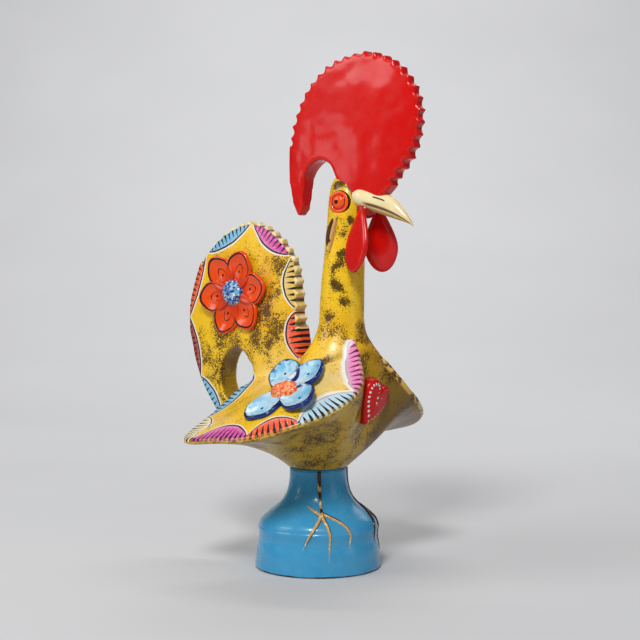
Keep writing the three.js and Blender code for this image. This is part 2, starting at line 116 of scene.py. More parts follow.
TAIL_TEETH = (1, 9, 18)
TAIL_HOLE = (-24.1, 20.9, 5.4, 7.5)

# Painted fans round the tail, by share of its outline: start, end, depth in millimetres and paint
TAIL_FANS = [
    (-0.006, 0.078, 12.5, "orange"), (0.078, 0.174, 13.5, "straw"),
    (0.174, 0.284, 14.5, "magenta"), (0.284, 0.408, 13, "sky"),
    (0.408, 0.533, 9, "orange"), (0.533, 0.643, 8, "crimson"),
    (0.643, 0.73, 8.5, "sky"),
]
# Painted fans round each wing, by millimetres of its rim from the breast
WING_FANS = [
    (2, 54, 12.5, "pink"), (54, 108, 15, "ice"), (108, 150, 15, "orange"), (150, 207, 16, "magenta"),
    (207, 258, 17, "cream"), (258, 317, 8, "sky"),
]
LEFT_WING_PAINTS = ["orange", "magenta", "ice", "orange", "cream", "sky"]
LEFT_WING_START = 400.0
NO_FAN = -30.0
DASH_PAINTS = {"pink": "plum"}

# Dark dabs on the head and neck, in hundredths of the bird's height, with their reach in millimetres
DABS = [
    ((8.4, -3.2, 68.3), 3.4), ((9.6, -2.9, 68.9), 2.6), ((11.8, -1.7, 67.6), 3.6),
    ((12.5, -1.9, 65.7), 2.6), ((12.7, -1.7, 64.3), 2.2), ((12.2, -2.6, 60.2), 3.6),
    ((11.4, -3.5, 56.4), 4.2), ((10.5, -4.2, 52.4), 5.2), ((8.9, -4.9, 49.3), 6.5),
    ((9.7, -4.8, 44.5), 6.5), ((11.3, -3.7, 40.5), 5), ((8, -5.4, 37.6), 6),
]

# Beak sections: forward, up, half height and half width
BEAK_SECTIONS = [
    (11.8, 65.4, 2.2, 2.5), (14.2, 65.3, 2.75, 3.2), (18.3, 64.3, 2.7, 2.6), (21.2, 63.4, 2.6, 1.9),
    (23.7, 62.3, 2.2, 1.5), (25.9, 60.9, 1.4, 1), (27.4, 59.7, 0.7, 0.6), (28.4, 58.6, 0.1, 0.1),
]

# Clay flowers: turns of their petals, and station and rise on the right and left wing
TAIL_PETALS = {"turns": [10, 70, 130, 190, 250, 310], "reach": 6.1, "radius": 4.2}
WING_PETALS = {"turns": [-116, -21, 59, 123], "reach": 6, "radius": 4.5}
WING_FLOWER_PLACES = {"right": (1, 6.3, 0.45), "left": (-1, 7.6, 0.45)}

# Legs and toes on the pedestal, as angles from the front and shares of its height
LEG_ANGLE = 46
FOOT_LINES = [
    [(LEG_ANGLE + 3, 0.985), (LEG_ANGLE + 2, 0.78), (LEG_ANGLE, 0.58)],
    [(LEG_ANGLE, 0.59), (LEG_ANGLE + 11, 0.43), (LEG_ANGLE + 19, 0.27)],
    [(LEG_ANGLE, 0.58), (LEG_ANGLE - 6, 0.43), (LEG_ANGLE - 5, 0.15)],
    [(LEG_ANGLE, 0.6), (LEG_ANGLE - 21, 0.5), (LEG_ANGLE - 27, 0.4), (LEG_ANGLE - 26, 0.27)],
    [(LEG_ANGLE, 0.57), (LEG_ANGLE + 22, 0.66)],
]


def size_property(label, description, default):
    """A length that a user may change, in metres."""
    return bpy.props.FloatProperty(
        name=label, description=description, default=default, unit="LENGTH", precision=4,
    )


def colour_property(label, description, default):
    """A paint colour that a user may change."""
    return bpy.props.FloatVectorProperty(
        name=label, description=description, default=default, subtype="COLOR", size=3, min=0, max=1,
    )


class RoosterSizes(bpy.types.PropertyGroup):
    """Sizes of the figurine that a user may change."""

    figure_height: size_property("Figure height", "From the underside to the top of the comb", CAD_BOX[1].z)
    pedestal_height: size_property("Pedestal height", "From the underside to the waist", 0.079)
    pedestal_width: size_property("Pedestal width", "Across the flat underside", 0.099)
    skirt_height: size_property("Skirt height", "Height of the pedestal's upright part", 0.033)
    skirt_taper: size_property("Skirt taper", "How far the skirt leans in", 0.0028)
    waist_width: size_property("Waist width", "Across the pedestal's top", 0.0446)
    comb_thickness: size_property("Comb thickness", "At the middle of its lens", 0.018)
    tail_thickness: size_property("Tail thickness", "At the middle of its lens", 0.023)
    rim_thickness: size_property("Wing rim thickness", "Height of the wing's edge", 0.004)
    comb_tooth_depth: size_property("Comb tooth depth", "How deep the comb's edge is pinched", 0.0042)
    tail_tooth_depth: size_property("Tail tooth depth", "How deep the tail's edge is pinched", 0.0038)
    clay_pitch: size_property("Clay mesh pitch", "Spacing of the fused clay mesh", 0.00125)
    unevenness: size_property("Unevenness", "How far the hand-made faces wander", 0.0004)
    petal_thickness: size_property("Petal thickness", "Thickness of the clay petals", 0.0042)
    leg_width: size_property("Leg width", "Width of the raised legs and toes", 0.0031)
    leg_relief: size_property("Leg relief", "How far the legs and toes stand out", 0.0015)


class RoosterColours(bpy.types.PropertyGroup):
    """Paints of the figurine that a user may change."""

    yellow: colour_property("Yellow", "Body ground", (0.90, 0.56, 0.016))
    # Amber gives both the ground's random warm tone and painted warm shade.
    amber: colour_property("Amber", "Warm body ground", (0.74, 0.30, 0.012))
    # Olive stands for painted shade on the undersides and in the tail's hole.
    olive_shade: colour_property("Olive", "Undersides", (0.16, 0.085, 0.006))
    # Cream also gives painted highlight in the body's pale patches and painted glints on the legs and toes.
    cream: colour_property("Cream", "Pale ground, teeth and beak", (0.86, 0.74, 0.42))
    speck: colour_property("Speck", "Sponged dark brown", (0.035, 0.013, 0.006))
    black: colour_property("Black", "Brushed lines", (0.008, 0.006, 0.009))
    white: colour_property("White", "Brushed white lines and dots", (0.87, 0.84, 0.78))
    red: colour_property("Red", "Comb, wattles and heart", (0.64, 0.004, 0.002))
    crimson: colour_property("Crimson", "Dark red fan and shadows", (0.36, 0.006, 0.008))
    orange: colour_property("Orange", "Tail flower and fans", (0.86, 0.078, 0.006))
    straw: colour_property("Straw", "Pale yellow fan", (0.76, 0.52, 0.10))
    magenta: colour_property("Magenta", "Magenta fans", (0.68, 0.05, 0.36))
    pink: colour_property("Pink", "Pink fan", (0.80, 0.22, 0.50))
    sky: colour_property("Sky blue", "Light blue fans and petals", (0.17, 0.48, 0.70))
    ice: colour_property("Ice blue", "Whitened blue fan", (0.50, 0.72, 0.82))
    cobalt: colour_property("Cobalt", "Brushed petal edges", (0.006, 0.03, 0.27))
    pedestal_blue: colour_property("Pedestal blue", "Glossy pedestal", (0.035, 0.30, 0.56))
    gold: colour_property("Gold", "Legs, toes and beak edges", (0.62, 0.36, 0.12))
    # Brown also gives painted shade between the tail's teeth and on the cheek leaf further back.
    brown: colour_property("Brown", "Dark gold and grooves", (0.10, 0.035, 0.01))
    peach: colour_property("Peach", "Middle of the wing flower", (0.86, 0.33, 0.13))
    plum: colour_property("Plum", "Dashes of the pink fan", (0.16, 0.004, 0.05))


class RoosterStage(bpy.types.PropertyGroup):
    """Camera and light that a user may change."""

    azimuth: bpy.props.FloatProperty(
        name="Camera azimuth", description="Turn of the camera about the axis", default=math.radians(39),
        subtype="ANGLE",
    )
    distance: size_property("Camera distance", "From the axis", 1.18)
    height: size_property("Camera height", "Above the floor", 0.255)
    aim_height: size_property("Aim height", "Place on the axis at the picture's middle", 0.194)
    lens: bpy.props.FloatProperty(
        name="Lens", description="Focal length on a 36 mm sensor", default=84.8, min=10, unit="CAMERA",
    )
    light: bpy.props.FloatProperty(name="Light", description="Strength of the studio lamps", default=1, min=0)
    floor_colour: colour_property("Floor", "Plain pale floor", (0.62, 0.62, 0.63))


def curve_spans(before, start, end, after, per_span):
    """Places on a centripetal spline, each of its spans cut alike."""
    first, middle, last = (
        np.maximum(np.linalg.norm(b - a, axis=1), 1e-9)[:, None] ** 0.5
        for a, b in ((before, start), (start, end), (end, after))
    )
    leave = ((start - before) / first - (end - before) / (first + middle) + (end - start) / middle) * middle
    arrive = ((end - start) / middle - (after - start) / (middle + last) + (after - end) / last) * middle
    share = (np.arange(per_span) / per_span)[None, :, None]
    start, end, leave, arrive = (value[:, None] for value in (start, end, leave, arrive))
    bend = 3 * (end - start) - 2 * leave - arrive
    turn = 2 * (start - end) + leave + arrive
    return (start + leave * share + bend * share ** 2 + turn * share ** 3).reshape(-1, start.shape[-1])


def closed_curve(points, per_span):
    """A smooth closed line through the points."""
    points = np.asarray(points, float)
    return curve_spans(*(np.roll(points, shift, axis=0) for shift in (1, 0, -1, -2)), per_span)


def open_curve(points, per_span):
    """A smooth line from the first point to the last."""
    points = np.asarray(points, float)
    ends = np.vstack([2 * points[0] - points[1], points, 2 * points[-1] - points[-2]])
    line = curve_spans(ends[:-3], ends[1:-2], ends[2:-1], ends[3:], per_span)
    return np.vstack([line, points[-1:]])


def full_turn(count):
    """Evenly spaced angles once round."""
    return np.linspace(0, 2 * math.pi, count, endpoint=False)


def ring(radius, turn, height):
    """A level ring of places round the axis."""
    return np.stack([radius * np.cos(turn), radius * np.sin(turn), np.full(len(turn), height)], axis=1)


def spun(angle):
    """A turn about the upright axis, for rows of places."""
    along, across = math.cos(angle), math.sin(angle)
    return np.array([[along, across, 0], [-across, along, 0], [0, 0, 1]])


def bezier(start, leave, arrive, end, share):
    """The places at one share of many curved lines at once."""
    rest = 1 - share
    handles = 3 * leave * rest ** 2 * share + 3 * arrive * rest * share ** 2
    return start * rest ** 3 + handles + end * share ** 3


def smooth_step(low, high, value):
    """0 below low, 1 above high, and a soft step between."""
    share = np.clip((value - low) / (high - low), 0, 1)
    return share * share * (3 - 2 * share)


class Bird:
    """The bird's own measure: places in hundredths of its height, turned to millimetres."""

    def __init__(self, sizes):
        self.base = sizes.pedestal_height / MILLIMETRE
        self.percent = (sizes.figure_height - sizes.pedestal_height) / MILLIMETRE / 100

    def place(self, places):
        """Millimetre places from rows of forward, out and up."""
        return np.asarray(places, float) * self.percent + np.array([0, 0, self.base])

    def flat(self, outline):
        """Millimetre places in the middle plane from rows of forward and up."""
        outline = np.asarray(outline, float)
        return self.place(np.stack([outline[:, 0], np.zeros(len(outline)), outline[:, 1]], axis=1))


class Guide:
    """A closed line from which places are measured: how far along it they lie and how far away."""

    def __init__(self, line):
        self.line = line
        ahead = np.roll(line, -1, axis=0) - line
        steps = np.linalg.norm(ahead, axis=1)
        self.along = ahead / np.maximum(steps, 1e-9)[:, None]
        self.run = np.concatenate([[0], np.cumsum(steps)[:-1]])
        self.whole = steps.sum()
        self.tree = kdtree.KDTree(len(line))
        for index, place in enumerate(line):
            self.tree.insert(place, index)
        self.tree.balance()

    def nearest(self, places):
        """The nearest point of the line to each place."""
        return np.array([self.tree.find(place)[1] for place in places], int)

    def measure(self, places):
        """Distance along, distance away and nearest point for each place."""
        index = self.nearest(places)
        offset = places - self.line[index]
        forward = np.einsum("ij,ij->i", offset, self.along[index])
        away = np.linalg.norm(offset - forward[:, None] * self.along[index], axis=1)
        return self.run[index] + forward, away, index


def distances(cloud, places):
    """How far each place lies from the nearest point of a cloud."""
    tree = kdtree.KDTree(len(cloud))
    for index, point in enumerate(cloud):
        tree.insert(point, index)
    tree.balance()
    return np.array([tree.find(place)[2] for place in places])


def wander(places, reach, seed=0.0):
    """A slow, smooth unevenness between -1 and 1 at each place."""
    shift = Vector((seed, 2.3 * seed, -seed))
    return np.array([noise.noise(Vector(place) / reach + shift) for place in places])


def fan_depth(run, fans, whole=None):
    """Depth of the painted fan at each place along a rim, and NO_FAN where there is none."""
    depth = np.full(len(run), NO_FAN)
    for start, end, deep, _ in fans:
        if whole is not None:
            start, end = start * whole, end * whole
        share = (run - start) / (end - start)
        if whole is not None:
            share = np.where(share > whole / (end - start) - 1, share - whole / (end - start), share)
        inside = (share >= 0) & (share <= 1)
        lens = deep * np.clip(4 * share * (1 - share), 0, 1) ** 0.72
        depth = np.where(inside, lens, depth)
    return depth


def ring_mesh(rings, start=None, end=None):
    """Places and faces of a skin over closed rings of equal count, closed by a point at either end."""
    columns = len(rings[0])
    places = np.vstack(rings)
    faces = []
    column = np.arange(columns)
    after = (column + 1) % columns
    for row in range(len(rings) - 1):
        low = row * columns
        high = low + columns
        faces += np.stack([low + column, low + after, high + after, high + column], axis=1).tolist()
    if start is not None:
        faces += [(len(places), int(b), int(a)) for a, b in zip(column, after)]
        places = np.vstack([places, [start]])
    if end is not None:
        last = (len(rings) - 1) * columns
        faces += [(len(places), int(last + a), int(last + b)) for a, b in zip(column, after)]
        places = np.vstack([places, [end]])
    return places, faces


def joined(parts):
    """Places and faces of several meshes as one."""
    places, faces = [], []
    count = 0
    for part_places, part_faces in parts:
        places.append(part_places)
        faces += [tuple(int(corner) + count for corner in face) for face in part_faces]
        count += len(part_places)
    return np.vstack(places), faces


def other_side(places, faces):
    """The mirror image of a mesh on the bird's other side."""
    return places * np.array([1, -1, 1]), [face[::-1] for face in faces]


def mesh_data(name, places, faces):
    """A Blender mesh from millimetre places and faces."""
    mesh = bpy.data.meshes.new(name)
    mesh.from_pydata((np.asarray(places) * MILLIMETRE).tolist(), [], [tuple(face) for face in faces])
    mesh.validate()
    mesh.update()
    return mesh


def fused(parts, pitch):
    """Places, faces and edges of one clay skin over closed meshes that overlap."""
    mesh = mesh_data("clay_to_fuse", *joined(parts))
    lump = bpy.data.objects.new("clay_to_fuse", mesh)
    bpy.context.scene.collection.objects.link(lump)
    remesh = lump.modifiers.new("Fuse", "REMESH")
    remesh.mode = "VOXEL"
    remesh.voxel_size = pitch
    fine = lump.evaluated_get(bpy.context.evaluated_depsgraph_get()).to_mesh()
    places = np.zeros(len(fine.vertices) * 3, np.float32)
    fine.vertices.foreach_get("co", places)
    edges = np.zeros(len(fine.edges) * 2, np.int32)
    fine.edges.foreach_get("vertices", edges)
    faces = [tuple(face.vertices) for face in fine.polygons]
    places = places.reshape(-1, 3).astype(float) / MILLIMETRE
    edges = edges.reshape(-1, 2)
    bpy.data.objects.remove(lump)
    bpy.data.meshes.remove(mesh)
    return places, faces, edges


def relaxed(places, edges, rounds, weight=1.0, swell=0.0):
    """Places eased towards their neighbours; with swell, the loss of size is given back each round."""
    count = len(places)
    ends = np.concatenate([edges[:, 0], edges[:, 1]])
    others = np.concatenate([edges[:, 1], edges[:, 0]])
    degree = np.maximum(np.bincount(ends, minlength=count), 1)[:, None]
    weight = np.broadcast_to(np.asarray(weight, float).reshape(-1, 1), (count, 1))
    for _ in range(rounds):
        for step in (0.5, -swell) if swell else (0.5,):
            near = [np.bincount(ends, weights=places[others, axis], minlength=count) for axis in range(3)]
            mean = np.stack(near, axis=1) / degree
            places = places + (mean - places) * step * weight
    return places


def surface_normals(places, faces):
    """A unit normal at each place, from the faces round it."""
    quads = np.array([face if len(face) == 4 else (*face, face[-1]) for face in faces])
    across = np.cross(places[quads[:, 2]] - places[quads[:, 0]], places[quads[:, 3]] - places[quads[:, 1]])
    normals = np.zeros_like(places)
    for corner in range(4):
        for axis in range(3):
            normals[:, axis] += np.bincount(quads[:, corner], weights=across[:, axis], minlength=len(places))
    return normals / np.maximum(np.linalg.norm(normals, axis=1), 1e-9)[:, None]


def hand_shaped(places, faces, sizes, seed, strength=1.0):
    """Places moved a little along their normals, as a hand leaves them."""
    height = wander(places, 22, seed) + 0.4 * wander(places, 9, seed + 7)
    amount = strength * sizes.unevenness / MILLIMETRE * height
    return places + surface_normals(places, faces) * amount[:, None]


def add_piece(name, places, faces, material, fields=None):
    """Links one smooth piece of the figurine, with its named fields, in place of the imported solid."""
    mesh = mesh_data(name, places, faces)
    mesh.shade_smooth()
    for field, values in (fields or {}).items():
        attribute = mesh.attributes.new(field, "FLOAT_VECTOR", "POINT")
        attribute.data.foreach_set("vector", np.asarray(values, np.float32).ravel())
    piece = bpy.data.objects.new(name, mesh)
    bpy.context.scene.collection.objects.link(piece)
    mesh.materials.append(material)
    turn_outward(mesh)
    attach(piece, "root")
    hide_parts("rooster")
    return piece


def turn_outward(mesh):
    """Turns a closed mesh's faces to look outward."""
    volume = 0.0
    for face in mesh.polygons:
        volume += face.center.dot(face.normal) * face.area
    if volume < 0:
        mesh.flip_normals()


# Shader building


def add_node(tree, kind, **settings):
    """A node of the tree with its settings."""
    node = tree.nodes.new(kind)
    for name, value in settings.items():
        setattr(node, name, value)
    return node


def feed(tree, socket, value):
    """Links a socket to an input, or sets the input's plain value."""
    if isinstance(value, bpy.types.NodeSocket):
        tree.links.new(value, socket)
    elif isinstance(value, (tuple, list)) or hasattr(value, "__len__"):
        socket.default_value = tuple(value) + (1,) * (len(socket.default_value) - len(value))
    else:
        socket.default_value = value


def sums(tree, operation, first, second=0.0, third=0.0):
    """The output of a math node."""
    node = add_node(tree, "ShaderNodeMath", operation=operation)
    for socket, value in zip(node.inputs, (first, second, third)):
        feed(tree, socket, value)
    return node.outputs[0]


def times(tree, first, second):
    """One value times another."""
    return sums(tree, "MULTIPLY", first, second)


def distance(tree, first, second):
    """How far a point lies from the middle, from its two places."""
    return sums(tree, "SQRT", sums(tree, "ADD", times(tree, first, first), times(tree, second, second)))


def band(tree, value, low, high, start=0.0, end=1.0):
    """A soft step of a value from low to high."""
    node = add_node(tree, "ShaderNodeMapRange", interpolation_type="SMOOTHSTEP")
    names = ("Value", "From Min", "From Max", "To Min", "To Max")
    for name, item in zip(names, (value, low, high, start, end)):
        feed(tree, node.inputs[name], item)
    return node.outputs[0]


def blend(tree, share, under, over):
    """A colour laid over another."""
    node = add_node(tree, "ShaderNodeMix", data_type="RGBA")
    feed(tree, node.inputs[0], share)
    feed(tree, node.inputs[6], under)
    feed(tree, node.inputs[7], over)
    return node.outputs[2]


def clouds(tree, scale, detail=2.0, roughness=0.5, vector=None):
    """A noise value over the object's own space."""
    node = add_node(tree, "ShaderNodeTexNoise")
    if vector is None:
        vector = add_node(tree, "ShaderNodeTexCoord").outputs["Object"]
    feed(tree, node.inputs["Vector"], vector)
    node.inputs["Scale"].default_value = scale
    node.inputs["Detail"].default_value = detail
    node.inputs["Roughness"].default_value = roughness
    return node.outputs["Fac"]


def field(tree, name):
    """The three parts of a named vector field of the mesh."""
    source = add_node(tree, "ShaderNodeAttribute", attribute_name=name)
    parts = add_node(tree, "ShaderNodeSeparateXYZ")
    tree.links.new(source.outputs["Vector"], parts.inputs[0])
    return tuple(parts.outputs)


def stepped_colours(tree, value, stops):
    """A colour that changes at set values between 0 and 1, without blending."""
    node = add_node(tree, "ShaderNodeValToRGB")
    node.color_ramp.interpolation = "CONSTANT"
    while len(node.color_ramp.elements) < len(stops):
        node.color_ramp.elements.new(1)
    for element, (position, colour) in zip(node.color_ramp.elements, stops):
        element.position = min(max(position, 0), 1)
        element.color = (*colour, 1)
    feed(tree, node.inputs[0], value)
    return node.outputs[0]


def new_group(name, inputs, outputs):
    """A shader node group with named sockets, and its input and output nodes."""
    group = bpy.data.node_groups.new(name, "ShaderNodeTree")
    kinds = {"value": "NodeSocketFloat", "colour": "NodeSocketColor", "vector": "NodeSocketVector"}
    for label, kind, default in inputs:
        socket = group.interface.new_socket(label, in_out="INPUT", socket_type=kinds[kind])
        socket.default_value = default
    for label, kind in outputs:
        group.interface.new_socket(label, in_out="OUTPUT", socket_type=kinds[kind])
    return group, group.nodes.new("NodeGroupInput").outputs, group.nodes.new("NodeGroupOutput").inputs


def use_group(tree, name, **values):
    """Places a group in a tree; spaces in its socket names are written as underscores."""
    node = add_node(tree, "ShaderNodeGroup")
    node.node_tree = bpy.data.node_groups[name]
    for label, value in values.items():
        feed(tree, node.inputs[label.replace("_", " ")], value)
    return node.outputs


def build_sponge_group():
    """Dark paint dabbed on with a sponge: small ragged grains that gather in patches."""
    group, given, out = new_group(
        "Sponged specks", [("Amount", "value", 0.5), ("Grain", "value", 1.0)], [("Mask", "value")],
    )
    space = add_node(group, "ShaderNodeTexCoord").outputs["Object"]
    scaled = add_node(group, "ShaderNodeVectorMath", operation="SCALE")
    feed(group, scaled.inputs[0], space)
    feed(group, scaled.inputs["Scale"], given["Grain"])
    grain = clouds(group, 800, 3, 0.62, scaled.outputs[0])
    patch = clouds(group, 62, 3, 0.6, space)
    crowd = band(group, patch, 0.33, 0.7)
    reach = times(group, given["Amount"], sums(group, "MULTIPLY_ADD", crowd, 0.85, 0.15))
    limit = sums(group, "MULTIPLY_ADD", reach, -0.27, 0.70)
    feed(group, out["Mask"], band(group, sums(group, "SUBTRACT", grain, limit), -0.012, 0.03))


def build_fan_group():
    """A painted fan along a rim: tapered dark dashes on bright paint, closed by black and white lines."""
    group, given, out = new_group(
        "Painted fan",
        [
            ("Run", "value", 0), ("In", "value", 0), ("Depth", "value", 10), ("Skip", "value", 0),
            ("Pitch", "value", 4.6), ("Band", "value", 2), ("Paint", "colour", (1, 1, 1, 1)),
            ("Dash", "colour", (0, 0, 0, 1)), ("Line", "colour", (0, 0, 0, 1)),
            ("Ground", "colour", (1, 1, 1, 1)), ("White", "colour", (1, 1, 1, 1)),
        ],
        [("Colour", "colour"), ("Cover", "value")],
    )
    shake = sums(group, "MULTIPLY_ADD", clouds(group, 150, 1), 1.6, -0.8)
    run = sums(group, "ADD", given["Run"], times(group, shake, 0.6))
    inward = sums(group, "ADD", given["In"], times(group, shake, 0.4))
    reach = sums(group, "MAXIMUM", sums(group, "SUBTRACT", given["Depth"], given["Skip"]), 0.5)
    share = sums(group, "DIVIDE", sums(group, "SUBTRACT", inward, given["Skip"]), reach)
    turns = sums(group, "DIVIDE", run, given["Pitch"])
    luck = add_node(group, "ShaderNodeTexWhiteNoise", noise_dimensions="1D")
    feed(group, luck.inputs["W"], sums(group, "FLOOR", turns))
    length = sums(group, "MULTIPLY_ADD", luck.outputs["Value"], 0.25, 0.72)
    offside = sums(group, "ABSOLUTE", sums(group, "SUBTRACT", sums(group, "FRACT", turns), 0.5))
    taper = sums(group, "SUBTRACT", 1, sums(group, "DIVIDE", share, length))
    width = times(group, sums(group, "POWER", sums(group, "MAXIMUM", taper, 0), 0.7), 0.27)
    dash = band(group, sums(group, "SUBTRACT", width, offside), -0.02, 0.05)
    streaks = add_node(group, "ShaderNodeTexNoise")
    streaks.inputs["Scale"].default_value = 1.0
    place = add_node(group, "ShaderNodeCombineXYZ")
    feed(group, place.inputs[0], times(group, run, 2.2))
    feed(group, place.inputs[1], times(group, inward, 0.35))
    group.links.new(place.outputs[0], streaks.inputs["Vector"])
    bright = band(group, streaks.outputs["Fac"], 0.5, 0.72, 0, 0.4)
    paint = blend(group, bright, given["Paint"], given["White"])
    dim = band(group, streaks.outputs["Fac"], 0.45, 0.25, 0, 0.35)
    paint = blend(group, dim, paint, given["Dash"])
    pale = blend(group, band(group, share, 0.5, 1.05, 0, 0.2), paint, given["White"])
    dashed = blend(group, dash, pale, given["Dash"])
    beyond = sums(group, "SUBTRACT", inward, given["Depth"])
    fade = times(group, given["Band"], 0.55)
    edge = sums(group, "ADD", given["Band"], fade)
    white = times(group, band(group, beyond, 0.3, 0.7), band(group, beyond, fade, edge, 1, 0))
    ground = blend(group, white, given["Ground"], given["White"])
    filled = blend(group, band(group, beyond, -0.25, 0.1), dashed, ground)
    line = band(group, sums(group, "ABSOLUTE", beyond), 0.55, 0.95, 1, 0)
    feed(group, out["Colour"], blend(group, line, filled, given["Line"]))
    inside = band(group, given["In"], -0.9, -0.4)
    ending = band(group, beyond, edge, sums(group, "ADD", edge, 0.6), 1, 0)
    feed(group, out["Cover"], times(group, ending, inside))


def build_brush_group():
    """Hand-brushed glossy paint: slow changes of tone, faint strokes and a roughness that follows them."""
    group, given, out = new_group(
        "Brushed paint",
        [("Colour", "colour", (1, 1, 1, 1)), ("Shade", "colour", (0, 0, 0, 1)), ("Strength", "value", 0.5)],
        [("Colour", "colour"), ("Roughness", "value")],
    )
    slow = band(group, clouds(group, 24, 3, 0.6), 0.35, 0.7)
    fine = band(group, clouds(group, 110, 4, 0.6), 0.42, 0.75)
    share = times(group, given["Strength"], times(group, fine, 0.3))
    toned = blend(group, share, given["Colour"], given["Shade"])
    slower = times(group, given["Strength"], times(group, slow, 0.5))
    feed(group, out["Colour"], blend(group, slower, toned, given["Shade"]))
    feed(group, out["Roughness"], sums(group, "MULTIPLY_ADD", fine, 0.12, 0.24))


def build_surface_group():
    """Height of the hand-worked surface under the varnish: dents of a thumb and fine pits."""
    group, _, out = new_group("Clay surface", [], [("Height", "value")])
    dents = clouds(group, 45, 2, 0.5)
    pits = clouds(group, 320, 3, 0.55)
    feed(group, out["Height"], sums(group, "ADD", dents, times(group, pits, 0.10)))


def build_outline_group():
    """A brushed line of uneven width round whatever a distance is measured from."""
    group, given, out = new_group(
        "Brushed line",
        [
            ("Away", "value", 0), ("Width", "value", 1), ("Line", "colour", (0, 0, 0, 1)),
            ("Under", "colour", (1, 1, 1, 1)),
        ],
        [("Colour", "colour")],
    )
    uneven = sums(group, "MULTIPLY_ADD", clouds(group, 170, 2), 1.1, 0.45)
    half = times(group, given["Width"], times(group, uneven, 0.5))
    edge = sums(group, "SUBTRACT", half, sums(group, "ABSOLUTE", given["Away"]))
    mask = band(group, edge, -0.12, 0.18)
    feed(group, out["Colour"], blend(group, mask, given["Under"], given["Line"]))


def varnished(name, gloss=0.25, bump=0.25):
    """A new material's tree and shader: varnished paint over uneven clay."""
    material = bpy.data.materials.new(name)
    material.use_nodes = True
    tree = material.node_tree
    shader = tree.nodes["Principled BSDF"]
    shader.inputs["Roughness"].default_value = gloss
    shader.inputs["IOR"].default_value = 1.5
    shader.inputs["Specular IOR Level"].default_value = 0.25
    shader.inputs["Coat Weight"].default_value = 0.3
    shader.inputs["Coat Roughness"].default_value = 0.1
    relief = add_node(tree, "ShaderNodeBump")
    relief.inputs["Strength"].default_value = bump
    relief.inputs["Distance"].default_value = 0.0015
    feed(tree, relief.inputs["Height"], use_group(tree, "Clay surface")["Height"])
    tree.links.new(relief.outputs[0], shader.inputs["Normal"])
    return material, tree, shader


def fan_stops(fans, colours, scale, dashes=False):
    """Colour steps for a rim of fans, at shares of a scale: their paint, or that of their dashes."""
    stops = []
    for start, _, _, paint in fans:
        name = DASH_PAINTS.get(paint, "black") if dashes else paint
        stops.append((max(start / scale, 0), getattr(colours, name)[:]))
    return stops


def wing_stops(colours, dashes=False):
    """Colour steps for the fans of both wings; the left wing's run starts beyond the right one's."""
    left = [
        (start + LEFT_WING_START, end, deep, paint)
        for (start, end, deep, _), paint in zip(WING_FANS, LEFT_WING_PAINTS)
    ]
    return fan_stops(WING_FANS + left, colours, 2 * LEFT_WING_START, dashes)


